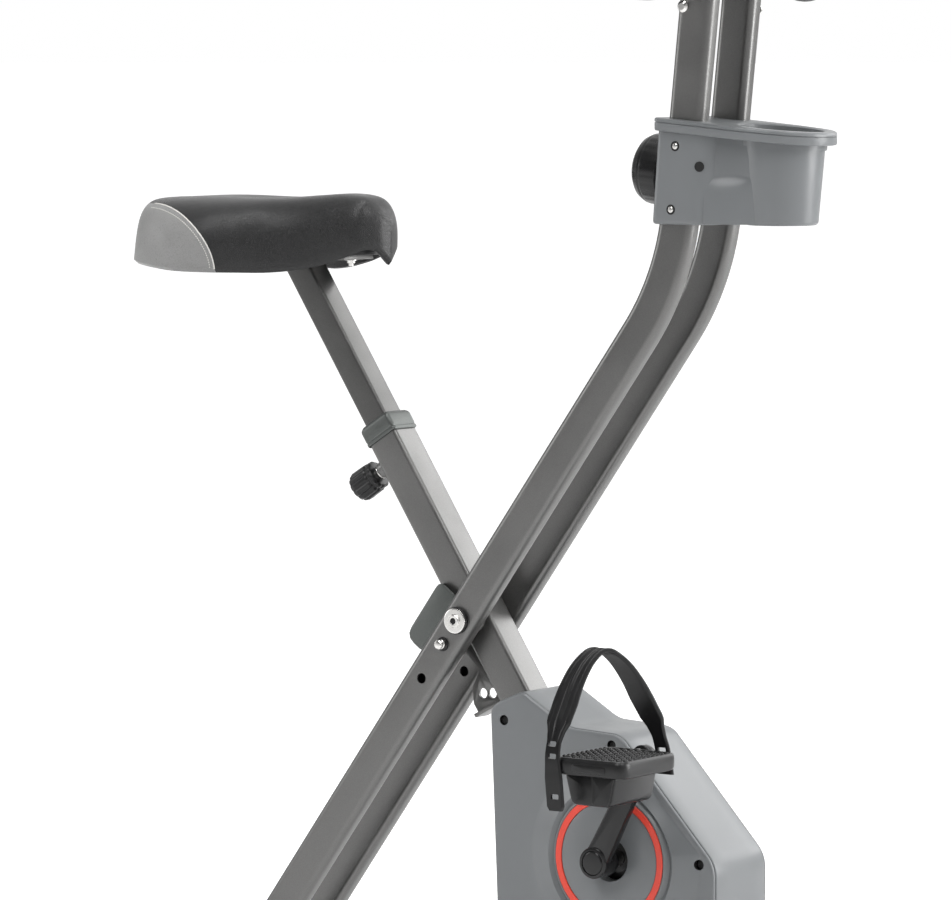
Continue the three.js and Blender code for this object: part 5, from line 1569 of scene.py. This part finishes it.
@dataclass
class Housing:
    """The moulded housing: a band round the drive, a cover on each side and the red rings."""

    half: float = 45
    wall: float = 3
    disc: tuple[float, float] = (197, -229)
    hole_radius: float = 22
    ring_inner: float = 58
    ring_outer: float = 65
    disc_radius: float = 68
    slope_radius: float = 99
    leg_size: float = 39

    def outline(self, inset: float = 0.0, count: int = 360) -> Array:
        """The housing's outline, drawn in by `inset`, as (x, z) points."""
        corners = [(41, -84, 18), (82, -67, 14), (138, -100, 40), (203, -103, 26), (317, -226, 36),
                   (317, -418, 48), (55, -418, 90)]
        loop = resampled(rounded(corners, 14)[::-1], count, closed=True)
        return loop - inset * outline_normals(loop)

    def cover(self, side: Side) -> None:
        """One side cover: flat near its rolled edge, rising up a cone to a round disc with a hole."""
        centre = np.array(self.disc)
        outline = self.outline(1)
        spoke = outline - centre
        spoke /= np.linalg.norm(spoke, axis=1, keepdims=True)
        face, top = self.half + 4, self.half + 15

        def circle(radius: float) -> Array:
            """A circle whose points face the outline's."""
            return centre + radius * spoke

        h, a, b = self.hole_radius, self.ring_inner - 0.6, self.ring_outer + 0.6
        profile = [(h, face - 2.5), (h, top - 2), (h + 0.6, top - 0.6), (h + 2, top), (a - 0.8, top), (a, top - 0.4),
                   (a, top - 1), (b, top - 1), (b, top - 0.5), (b + 0.7, top), (b + 1.4, top - 0.2),
                   (self.disc_radius + 1.6, top - 4.6), (self.disc_radius + 2.6, top - 5.2)]
        loops = [(circle(r), y) for r, y in profile]
        start = self.disc_radius + 2.6
        room = np.linalg.norm(self.outline(6) - centre, axis=1) - 2
        reach = np.minimum(self.slope_radius + 4, room)
        for share, rise in ((0.15, 4.9), (0.5, 2.7), (0.85, 0.7), (0.94, 0.22), (1.0, 0.0)):
            loops.append((centre + (start + share * (reach - start))[:, None] * spoke, face + rise * 1.9))
        last = loops[-1][0]
        loops += [(last + (self.outline(5) - last) * k, face) for k in (0.2, 0.4, 0.6, 0.8, 1.0)]
        loops += [(self.outline(3.2), face - 0.05), (self.outline(2), face - 0.45), (self.outline(1.25), face - 1.2),
                  (self.outline(1), face - 2.2), (self.outline(1), self.half + 1),
                  (self.outline(1.8), self.half + 0.3),
                  (self.outline(4), self.half + 0.3), (self.outline(5), face - 2.5)]
        grid = np.stack([np.column_stack([p[:, 0], np.full(len(p), side.sign * y), p[:, 1]]) for p, y in loops])
        piece = Piece(f"housing_cover_{side.label}", "front_frame", [Finishes.housing_grey.material()],
                      "grey_plastic", (f"housing_{side.label}",))
        obj = piece.add(grid, wrap_u=True).build()
        spots = [(59.7, -98.6), (192.7, -114.5), (299, -226.6), (300, -392), (92, -392)]
        holes = [poled(turned([(5.3, self.half + 0.6), (5.3, face + 2)], 32)) * [1, side.sign, 1] + [x, 0, z]
                 for x, z in spots]
        # The holes' walls take the painted hole shade.
        drilled(obj, holes, Finishes.pit_black.material())
        # The screw heads deep in the holes take the painted hole shade instead of their zinc.
        screws = Piece(f"cover_screws_{side.label}", "front_frame", [Finishes.pit_black.material()], "zinc")
        head = poled(turned(eased([(0, self.half + 0.7), (4.2, self.half + 0.7), (4.2, self.half + 1.0),
                                   (1.6, self.half + 1.3), (1.4, self.half + 0.9), (0, self.half + 0.9)], 0.1), 24))
        for x, z in spots:
            screws.add(head * [1, side.sign, 1] + [x, 0, z])
        screws.build()

    def band(self) -> None:
        """The band between the covers, with rolled edges and the passage for the leg."""
        h, w = self.half, self.wall
        rows = [(w, -h + 1), (1.6, -h), (0.9, -h + 0.15), (0.25, -h + 0.8), (0, -h + 1.8), (0, -h * 0.5), (0, 0),
                (0, h * 0.5), (0, h - 1.8), (0.25, h - 0.8), (0.9, h - 0.15), (1.6, h), (w, h - 1), (w, 0)]
        loops = [(self.outline(inset), y) for inset, y in rows]
        grid = np.stack([np.column_stack([p[:, 0], np.full(len(p), y), p[:, 1]]) for p, y in loops])
        piece = Piece("housing_band_moulded", "front_frame", [Finishes.housing_grey.material()], "grey_plastic",
                      ("housing_band",))
        obj = piece.add(grid, wrap_u=True).build()
        rise = np.linspace(-600, 300, 3)
        path = np.stack([np.zeros(3), np.zeros(3), rise], axis=-1)
        tool = poled(swept(oval(self.leg_size, self.leg_size, 5), path))
        drilled(obj, [LAYOUT.leaning(-LAYOUT.seat_lean, (0, 0), tool)], Finishes.housing_grey.material())

    def rings(self, side: Side) -> None:
        """The red trim ring let into the disc."""
        top = self.half + 15.6
        rows = [(self.ring_inner, top - 1.5), (self.ring_inner, top - 0.5), (self.ring_inner + 0.5, top),
                (self.ring_outer - 0.5, top), (self.ring_outer, top - 0.5), (self.ring_outer, top - 1.5)]
        grid = turned(rows, 160) * [1, side.sign, 1] + [self.disc[0], 0, self.disc[1]]
        piece = Piece(f"trim_ring_{side.label}", "front_frame", [Finishes.ring_red.material()], "red_plastic",
                      (f"ring_{side.label}",))
        piece.add(grid, wrap_u=True).build()

    def make(self) -> None:
        """Builds the band, the covers and the rings."""
        self.band()
        for side in Side:
            self.cover(side)
            self.rings(side)


# ---- cup holder and tension knob -------------------------------------------------------------------


@dataclass
class CupHolder:
    """The cup holder between the tubes and the tension knob behind it."""

    low: float = 413
    rear: float = 243
    front: float = 312
    half: float = 55
    lean: float = math.radians(4.3)
    slope: float = math.radians(5)
    rim_top: float = 520
    rim_height: float = 13
    rim_radius: float = 54.5
    cup_centre: float = 362
    cup_top: float = 45.5
    cup_low: float = 36.5
    cup_wall: float = 3
    knob_along: float = -140
    swell_top: float = 0.5

    def rim_level(self, x: Array) -> Array:
        """Height of the rim's top over X: it falls towards the front."""
        return self.rim_top - math.tan(self.slope) * (x - self.rear)

    def cup_radius(self, z: Array) -> Array:
        """The cup's outer radius, which grows evenly with height."""
        return self.cup_low + (self.cup_top - self.cup_low) * (z - self.low) / (self.rim_top - self.low)

    def block(self, piece: Piece) -> None:
        """The body round the tubes: a rounded plan carried up with a slight lean back to front."""
        corners = [(self.rear, -self.half, 5), (self.front, -self.half, 22), (self.front, self.half, 22),
                   (self.rear, self.half, 5)]
        plan = resampled(rounded(corners, 12), 160, closed=True)
        outward = outline_normals(plan)
        rows = [(0, 4.0), (0.4, 2.2), (1.2, 0.9), (3.0, 0.2), (6, 0), (30, 0), (60, 0), (80, 0), (94, 0)]
        rings = []
        for rise, inset in rows:
            loop = plan - inset * outward
            z = self.low + rise
            x = loop[:, 0] + rise * math.tan(self.lean)
            top = np.minimum(z, self.rim_level(x) - 5)
            rings.append(np.column_stack([x, loop[:, 1], top]))
        piece.add(poled(np.stack(rings)))

    def web(self, piece: Piece) -> None:
        """The web from the body to the cup: its sides curve in, with an arched swelling low down."""
        rise = np.linspace(0, 1, 30)
        z = self.low + 1 + rise * 90
        side_run = np.linspace(0, 1, 24)
        rings = []
        for level, share in zip(z, rise):
            radius = self.cup_radius(level) - 1.5
            swell = math.sqrt(max(1 - (share / self.swell_top) ** 2, 0.0))
            reach = 49.5 + 4 * swell
            angle = math.asin(min((40 + 3 * swell) / radius, 0.98))
            meet = self.cup_centre - radius * math.cos(angle)
            x = 303 + share * 5 + (meet - 303 - share * 5) * side_run
            y = reach + (radius * math.sin(angle) - reach) * side_run + (6 * swell - 3) * np.sin(math.pi * side_run)
            arc = np.linspace(angle, -angle, 16)[1:-1]
            front = np.stack([self.cup_centre - radius * np.cos(arc), radius * np.sin(arc)], axis=-1)
            loop = np.vstack([np.stack([x, y], -1), front, np.stack([x[::-1], -y[::-1]], -1)])
            rings.append(np.column_stack([loop, np.minimum(level, self.rim_level(loop[:, 0]) - 6)]))
        piece.add(poled(np.stack(rings)))

    def cup(self, piece: Piece) -> None:
        """The cup: a tapered wall with a rounded foot and a floor."""
        low, wall = self.low, self.cup_wall
        top = self.rim_top - 16
        rows = [(0.01, low + 0.4), (self.cup_low - 8, low + 0.2), (self.cup_low - 2.4, low),
                (self.cup_low, low + 2.4), (self.cup_radius(low + 50), low + 50), (self.cup_radius(top), top),
                (self.cup_radius(top) - wall, top), (self.cup_low - wall + 0.6, low + wall + 6),
                (self.cup_low - wall - 4, low + wall), (0.01, low + wall)]
        grid = along_axis(turned(eased(rows, 1.6, 4), 96), (0, 0, 1))
        piece.add(poled(grid) + [self.cup_centre, 0, 0])

    def rim(self, piece: Piece) -> None:
        """The rim: one loop round body and cup, flat on top, open over the cup."""
        turn = np.linspace(-math.pi / 2 + 0.12, math.pi / 2 - 0.12, 60)
        nose = np.stack([self.cup_centre + self.rim_radius * np.cos(turn), self.rim_radius * np.sin(turn)], -1)
        side = self.half + 4
        outer = np.vstack([[[self.rear + 8, -side], [self.rear + 60, -side], [self.cup_centre - 16, -side]], nose,
                           [[self.cup_centre - 16, side], [self.rear + 60, side], [self.rear + 8, side],
                            [self.rear + 5, side - 1], [self.rear + 4, side - 4], [self.rear + 4, 0],
                            [self.rear + 4, -side + 4], [self.rear + 5, -side + 1]]])
        outer = resampled(outer, 240, closed=True)
        smoothing = np.array([1, 4, 6, 4, 1]) / 16
        outer = sum(w * np.roll(outer, k - 2, 0) for k, w in enumerate(smoothing))
        centre = np.array([self.cup_centre, 0])
        spoke = outer - centre
        angle = np.unwrap(np.arctan2(spoke[:, 1], spoke[:, 0]))
        inner_radius = self.cup_top - self.cup_wall
        inner = centre + inner_radius * np.stack([np.cos(angle), np.sin(angle)], -1)
        outward = outline_normals(outer)
        drop = self.rim_height
        loops = [(outer - 4 * outward, -drop + 0.4), (outer - 1.2 * outward, -drop),
                 (outer - 0.3 * outward, -drop + 0.5),
                 (outer, -drop + 1.6), (outer, -5.0), (outer - 0.9 * outward, -4.7), (outer - 0.9 * outward, -4.2),
                 (outer, -3.9), (outer, -1.8), (outer - 0.5 * outward, -0.7), (outer - 1.8 * outward, -0.1),
                 (outer - 3 * outward, 0), (centre + (inner - centre) * 1.05, 0), (inner, -1.2), (inner, -drop - 6),
                 (centre + (inner - centre) * 1.05, -drop - 6), (centre + (inner - centre) * 1.06, -drop + 0.4)]
        grid = np.stack([np.column_stack([p, self.rim_level(p[:, 0]) + z]) for p, z in loops])
        piece.add(grid, wrap_u=True)

    def holder(self) -> None:
        """The holder with its screws, each on a near-black disc of painted shade that stands in for its recess."""
        piece = Piece("cup_holder_moulded", "rear_frame", [Finishes.housing_grey.material()], "grey_plastic",
                      ("cup_holder",))
        self.block(piece)
        self.web(piece)
        self.cup(piece)
        self.rim(piece)
        piece.build()
        trim = Piece("cup_holder_screws", "rear_frame", [Finishes.pit_black.material(), Finishes.chrome.material(),
                                                         Finishes.satin_black.material()], "zinc")
        # Each pit is a near-black disc of painted shade under a screw head; the third, without a head, paints the
        # shade of a hole.
        pit = poled(turned(eased([(0.01, 0.3), (4.6, 0.3), (5.1, 0.1), (5.1, -2), (0.01, -2)], 0.1), 32))
        head = poled(turned(eased([(0.01, 1.1), (1.9, 1.0), (3.1, 0.5), (3.1, -1), (0.01, -1)], 0.2), 24))
        for side in Side:
            for x, z in ((271.5, 491), (266.5, 428)):
                place = [x, side.sign * self.half, z]
                trim.add(pit * [1, side.sign, 1] + place)
                trim.add(head * [1, side.sign, 1] + place, finish=1)
            corner = np.array([0.16, side.sign * 0.987, 0])
            trim.add(along_axis(pit, corner) + [300, side.sign * (self.half - 0.15), 471])
        trim.build()

    def knob(self) -> None:
        """The tension knob: a domed disc with ring grooves, a grooved edge and a pointer."""
        rows = [(0.01, 17), (7, 17), (7, 31), (24, 31), (24, 36), (34, 36), (36, 38.5), (36, 56), (35.3, 57.4),
                (35.3, 58.6), (35.4, 60), (32.5, 66), (27.5, 70.2), (27, 69.6), (26, 70.2), (25.4, 71.4),
                (16, 74.2), (8, 75.2), (0.01, 75.4)]
        grid = turned(eased(rows, 0.5, 2), 144)
        radius = np.hypot(grid[..., 0], grid[..., 2])
        turn = np.arctan2(grid[..., 2], grid[..., 0])
        flute = 1 - 0.35 * (radius > 35.6) * np.abs(np.sin(turn * 12)) ** 8 / np.maximum(radius, 1)
        grid = np.stack([grid[..., 0] * flute, grid[..., 1], grid[..., 2] * flute], axis=-1)
        piece = Piece("tension_dial", "tension_knob", [Finishes.satin_black.material(), Finishes.thread.material()],
                      "black_plastic", ("tension_knob",))
        mark = extruded(rounded([(-0.9, 21, 0.8), (0.9, 21, 0.8), (0.9, 27, 0.8), (-0.9, 27, 0.8)], 4), 71.0, 72.6,
                        0.2)
        for shape, finish in ((poled(grid), 0), (mark, 1)):
            place = along_axis(shape, (-1, 0, 0)) + [0, 0, self.knob_along]
            piece.add(LAYOUT.leaning(LAYOUT.upper_lean, (285.6, 600), place), finish=finish)
        piece.build()

    def make(self) -> None:
        """Builds the holder and the knob."""
        self.holder()
        self.knob()


# ---- handlebar and console -------------------------------------------------------------------------


@dataclass
class Cockpit:
    """The head bracket, the handlebar with its grips and pulse sensors, and the console."""

    bar_radius: float = 12.7
    foam_radius: float = 16.5
    pulse_radius: float = 15.7
    route: tuple[tuple[float, float, float], ...] = (
        (302, 0, 678), (302, 60, 678), (301, 95, 663), (299, 130, 652), (290, 170, 653), (268, 200, 662),
        (236, 214, 675), (126, 224, 712))
    grip_from: int = 2
    grip_to: int = 6
    console_place: tuple[float, float] = (250, 690)
    console_tilt: float = math.radians(42)

    def smooth_bar(self, points: Sequence[Sequence[float]], count: int) -> Array:
        """A smooth centre line close to the frame's, through its points by centripetal Catmull-Rom."""
        knots = np.asarray(points, float)
        padded = np.vstack([2 * knots[0] - knots[1], knots, 2 * knots[-1] - knots[-2]])
        gaps = np.sqrt(np.linalg.norm(np.diff(padded, axis=0), axis=1))
        parts = []
        for k in range(len(knots) - 1):
            t0, t1 = 0.0, gaps[k]
            t2 = t1 + gaps[k + 1]
            t3 = t2 + gaps[k + 2]
            t = np.linspace(t1, t2, 24, endpoint=k == len(knots) - 2)[:, None]
            p0, p1, p2, p3 = padded[k:k + 4]
            a1 = (t1 - t) / (t1 - t0) * p0 + (t - t0) / (t1 - t0) * p1
            a2 = (t2 - t) / (t2 - t1) * p1 + (t - t1) / (t2 - t1) * p2
            a3 = (t3 - t) / (t3 - t2) * p2 + (t - t2) / (t3 - t2) * p3
            b1 = (t2 - t) / (t2 - t0) * a1 + (t - t0) / (t2 - t0) * a2
            b2 = (t3 - t) / (t3 - t1) * a2 + (t - t1) / (t3 - t1) * a3
            parts.append((t2 - t) / (t2 - t1) * b1 + (t - t1) / (t2 - t1) * b2)
        return resampled(np.vstack(parts), count)

    def sleeve(self, piece: Piece, line: Array, outer: float, inner: float, finish: int = 0,
               ease: float = 2.0) -> None:
        """A tube round a line with rolled ends."""
        run = np.concatenate([[0], np.cumsum(np.linalg.norm(np.diff(line, axis=0), axis=1))])
        near_end = np.minimum(run, run[-1] - run)
        radius = outer - ease * (1 - np.sqrt(np.clip(1 - (1 - np.minimum(near_end / ease, 1)) ** 2, 0, 1)))
        circle = ring(1, 40)
        skin = swept(radius[:, None, None] * circle, line, across=(0.3, 0.2, 0.93))
        core = swept(np.broadcast_to(inner * circle, (len(line), 40, 2)), line, across=(0.3, 0.2, 0.93))
        piece.add(np.concatenate([skin, core[::-1]]), wrap_u=True, finish=finish)

    def bars(self) -> None:
        """The bar with its end plugs, the foam grips and the bright pulse sensors."""
        left = np.asarray(self.route, float)
        both = np.vstack([left[:0:-1] * [1, -1, 1], left])
        line = self.smooth_bar(both, 300)
        bar = Piece("handlebar_tube", "rear_frame", [Finishes.satin_black.material()], "black_plastic",
                    ("handlebar",))
        bar.add(poled(swept(ring(self.bar_radius, 40), line, across=(0.3, 0.2, 0.93))))
        for side in Side:
            tip, before = left[-1] * [1, side.sign, 1], left[-2] * [1, side.sign, 1]
            plug = turned(eased([(0.01, -2), (13, -2), (14.2, -1), (14.2, 1.5), (11.5, 4), (0.01, 4.6)], 0.8), 40)
            bar.add(poled(along_axis(plug, tip - before)) + tip - (tip - before) / np.linalg.norm(tip - before) * 3.4)
        bar.build()
        for side in Side:
            mirror = np.array([1, side.sign, 1])
            start = self.smooth_bar(left[self.grip_from:self.grip_to + 1] * mirror, 160)
            grip = Piece(f"foam_grip_{side.label}", "rear_frame", [Finishes.foam.material()], "foam",
                         (f"grip_{side.label}",))
            self.sleeve(grip, dense_ends(start, 3.0), self.foam_radius, self.bar_radius + 0.1, ease=3.0)
            grip.build()
            hand, end = left[self.grip_to] * mirror, left[-1] * mirror
            share = np.linspace(0.06, 0.97, 60)[:, None]
            pulse = Piece(f"pulse_plate_{side.label}", "rear_frame",
                          [Finishes.chrome.material(), Finishes.black_plastic.material()], "zinc",
                          (f"pulse_sensor_{side.label}",))
            stretch = hand + (end - hand) * share
            self.sleeve(pulse, dense_ends(stretch[4:56], 1.2), self.pulse_radius, self.bar_radius, ease=1.2)
            for part in (slice(0, 7), slice(27, 33), slice(53, 60)):
                self.sleeve(pulse, dense_ends(stretch[part], 0.8), self.pulse_radius + 0.5, self.bar_radius + 0.1,
                            finish=1, ease=0.8)
            pulse.build()

    def console(self) -> None:
        """The console: its shell, its window with a generic read-out, and its buttons."""
        softened("head_bracket", Finishes.satin_black.material(), "black_plastic", 2.2, 3)
        softened("console_shell", Finishes.black_plastic.material(), "black_plastic", 2.6, 4)
        softened("console_screen", Finishes.window.material(), "screen", 0.8, 2)
        piece = Piece("console_readout", "rear_frame", [Finishes.display.material(), Finishes.digits.material()],
                      "screen")
        panel = self.flat([(-12, -36), (24, -36), (24, 36), (-12, 36)], 8.3, 9.0, 2.5)
        piece.add(panel)
        strokes = [(0, 4.2, 6.2, 1.1), (0, 0, 6.2, 1.1), (0, -4.2, 6.2, 1.1), (-3.3, 2.1, 1.1, 3.4),
                   (3.3, 2.1, 1.1, 3.4),
                   (-3.3, -2.1, 1.1, 3.4), (3.3, -2.1, 1.1, 3.4)]
        shown = {"0": (0, 2, 3, 4, 5, 6), "8": tuple(range(7))}
        for row, digits in ((14, "0000"), (-2, "000")):
            for slot_index, digit in enumerate(digits):
                middle = 18 - 12 * slot_index
                for key in shown[digit]:
                    across, up, wide, tall = strokes[key]
                    y, x = middle - across, row + up
                    piece.add(self.flat([(x - tall / 2, y - wide / 2), (x + tall / 2, y - wide / 2),
                                         (x + tall / 2, y + wide / 2), (x - tall / 2, y + wide / 2)], 8.8, 9.2, 0.3),
                              finish=1)
        piece.build()
        for index, y in enumerate((-20, 20)):
            button = Piece(f"push_button_{index + 1}", f"button_{index + 1}", [Finishes.ring_red.material()],
                           "red_plastic", (f"console_button_{index + 1}",))
            rows = [(0.01, 1.9), (7, 1.9), (7, 9.4), (6, 10.6), (3, 10.9), (2.4, 10.5), (0.01, 10.4)]
            peg = along_axis(turned(eased(rows, 0.5), 40), (0, 0, 1)) + [-40, y, 0]
            button.add(LAYOUT.leaning(-self.console_tilt, self.console_place, poled(peg)))
            button.build()

    def flat(self, corners: Sequence[Sequence[float]], low: float, high: float, rounding: float) -> Array:
        """A thin plate on the console's face, from (ahead, across) corners."""
        loop = rounded([(*corner, rounding) for corner in corners], 4)
        rings = np.stack([np.column_stack([loop, np.full(len(loop), level)]) for level in (low, high)])
        return LAYOUT.leaning(-self.console_tilt, self.console_place, poled(rings))

    def make(self) -> None:
        """Builds the bars and the console."""
        self.bars()
        self.console()


def dense_ends(line: Array, reach: float) -> Array:
    """Adds points near both ends of a line, where a rolled end needs them."""
    run = np.concatenate([[0], np.cumsum(np.linalg.norm(np.diff(line, axis=0), axis=1))])
    near = reach * np.array([0, 0.03, 0.1, 0.22, 0.4, 0.62, 0.85, 1.0])
    where = np.concatenate([near, np.linspace(reach, run[-1] - reach, len(line))[1:-1], (run[-1] - near)[::-1]])
    return np.stack([np.interp(where, run, line[:, k]) for k in range(3)], axis=-1)


# ---- the nodes that keep their own shape -----------------------------------------------------------


def dress_frame_nodes() -> None:
    """Gives each frame node that still shows its finish."""
    dressing = {
        Finishes.satin_black: ("crank_shell", "crank_bearing_right", "crank_bearing_left", "drive_belt"),
        Finishes.black_plastic: ("drive_pulley", "flywheel_bracket", "magnet_shoe"),
        Finishes.chrome: ("crank_axle", "flywheel_axle", "flywheel_pinion", "head_screw_right", "head_screw_left"),
        Finishes.iron: ("flywheel",),
    }
    for finish, nodes in dressing.items():
        for node in nodes:
            slots = frame["nodes"][node].material_slots
            for entry in slots:
                entry.link = "DATA"
                entry.material = finish.material()
            if not slots:
                frame["nodes"][node].data.materials.append(finish.material())


# ---- camera, floor and light -----------------------------------------------------------------------


@dataclass
class Studio:
    """A long-lens camera, a white floor, a directional sky and five soft panels."""

    camera_place: tuple[float, float, float] = (3.2063, -4.4934, 0.6022)
    camera_yaw: float = 35.605
    camera_dip: float = 4.446
    lens: float = 202.72
    sky_toward: tuple[float, float, float] = (0.42, 0.8, 0.43)
    sky_band: tuple[float, float] = (-0.75, 0.9)
    panels: tuple[tuple[str, tuple[float, float, float], tuple[float, float], float], ...] = (
        ("front_panel", (3.7, 2.2, 1.5), (1.8, 2.6), 105),
        ("overhead_panel", (0.0, -1.2, 3.3), (0.8, 4.4), 62),
        ("nose_panel", (1.9, -1.0, 3.0), (0.9, 0.9), 20),
        ("left_panel", (1.6, 4.0, 2.6), (2.2, 2.2), 48),
        ("right_panel", (-3.8, -2.2, 1.6), (1.6, 2.2), 34),
    )
    world_dark: float = 0.16
    world_bright: float = 1.05
    floor_size: float = 400.0
    floor_glow: float = 0.42

    def camera(self) -> None:
        """The camera, in front and to the right, looking slightly down."""
        data = bpy.data.cameras.new("camera")
        data.lens = self.lens
        data.sensor_width = 36
        data.clip_end = 200
        obj = bpy.data.objects.new("camera", data)
        obj.location = Vector(self.camera_place) + Vector(LAYOUT.pivot)
        obj.rotation_euler = (math.radians(90 - self.camera_dip), 0, math.radians(self.camera_yaw))
        bpy.context.scene.collection.objects.link(obj)
        bpy.context.scene.camera = obj

    def floor(self) -> None:
        """A pale floor, wide enough to fill the background."""
        half = self.floor_size
        mesh = bpy.data.meshes.new("floor")
        mesh.from_pydata([(-half, -half, 0), (half, -half, 0), (half, half, 0), (-half, half, 0)], [],
                         [(0, 1, 2, 3)])
        material = bpy.data.materials.new("studio floor")
        material.use_nodes = True
        shader = material.node_tree.nodes["Principled BSDF"]
        shader.inputs["Base Color"].default_value = (0.93, 0.93, 0.93, 1)
        shader.inputs["Roughness"].default_value = 0.9
        shader.inputs["Specular IOR Level"].default_value = 0.1
        tree = material.node_tree
        seen = tree.nodes.new("ShaderNodeLightPath")
        glow = tree.nodes.new("ShaderNodeMath")
        glow.operation = "MULTIPLY"
        glow.inputs[1].default_value = self.floor_glow
        tree.links.new(seen.outputs["Is Camera Ray"], glow.inputs[0])
        tree.links.new(glow.outputs[0], shader.inputs["Emission Strength"])
        shader.inputs["Emission Color"].default_value = (1, 1, 1, 1)
        mesh.materials.append(material)
        obj = bpy.data.objects.new("floor", mesh)
        bpy.context.scene.collection.objects.link(obj)
        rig.stage(obj)

    def softbox(self, name: str, place: Sequence[float], aim: Sequence[float], size: tuple[float, float],
                power: float) -> None:
        """One rectangular area light aimed at a point."""
        data = bpy.data.lights.new(name, "AREA")
        data.shape = "RECTANGLE"
        data.size, data.size_y = size
        data.energy = power
        obj = bpy.data.objects.new(name, data)
        obj.location = place
        obj.rotation_euler = (Vector(aim) - Vector(place)).to_track_quat("-Z", "Y").to_euler()
        bpy.context.scene.collection.objects.link(obj)

    def light(self) -> None:
        """Sets a world that brightens toward the left and five panels: front, overhead, nose, left and right."""
        world = bpy.data.worlds.new("studio")
        world.use_nodes = True
        tree = world.node_tree
        back = tree.nodes["Background"]
        back.inputs["Color"].default_value = (1, 1, 1, 1)
        facing = tree.nodes.new("ShaderNodeVectorMath")
        facing.operation = "DOT_PRODUCT"
        tree.links.new(tree.nodes.new("ShaderNodeTexCoord").outputs["Generated"], facing.inputs[0])
        facing.inputs[1].default_value = Vector(self.sky_toward).normalized()
        level = tree.nodes.new("ShaderNodeMapRange")
        level.interpolation_type = "SMOOTHSTEP"
        level.inputs["From Min"].default_value, level.inputs["From Max"].default_value = self.sky_band
        level.inputs["To Min"].default_value = self.world_dark
        level.inputs["To Max"].default_value = self.world_bright
        tree.links.new(facing.outputs["Value"], level.inputs["Value"])
        seen = tree.nodes.new("ShaderNodeLightPath")
        pick = tree.nodes.new("ShaderNodeMix")
        tree.links.new(seen.outputs["Is Camera Ray"], pick.inputs["Factor"])
        tree.links.new(level.outputs["Result"], pick.inputs["A"])
        pick.inputs["B"].default_value = 1.0
        tree.links.new(pick.outputs["Result"], back.inputs["Strength"])
        bpy.context.scene.world = world
        middle = (0.0, 0.0, 0.6)
        for name, place, size, watts in self.panels:
            self.softbox(name, place, middle, size, watts)
        bpy.context.scene.view_settings.view_transform = "Standard"

    def make(self) -> None:
        """Sets up the studio."""
        self.camera()
        self.floor()
        self.light()


def main() -> None:
    """Builds the studio and every sub-assembly, then writes both boxes."""
    logging.basicConfig(level=logging.INFO, format="%(name)s: %(message)s")
    Studio().make()
    for assembly in (FrameTubes(), PivotAndLock(), Seat(), Crankset(), Housing(), CupHolder(), Cockpit()):
        assembly.make()
    dress_frame_nodes()
    bpy.context.view_layer.update()
    boxes = {"cad": [list(map(float, corner)) for corner in CAD_BOX],
             "visual": [list(map(float, corner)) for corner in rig.bounds()]}
    with open(SIZE_FILE, "w", encoding="utf-8") as out:
        json.dump(boxes, out)
    log.info("boxes: %s", boxes)


if __name__ == "__main__":
    main()
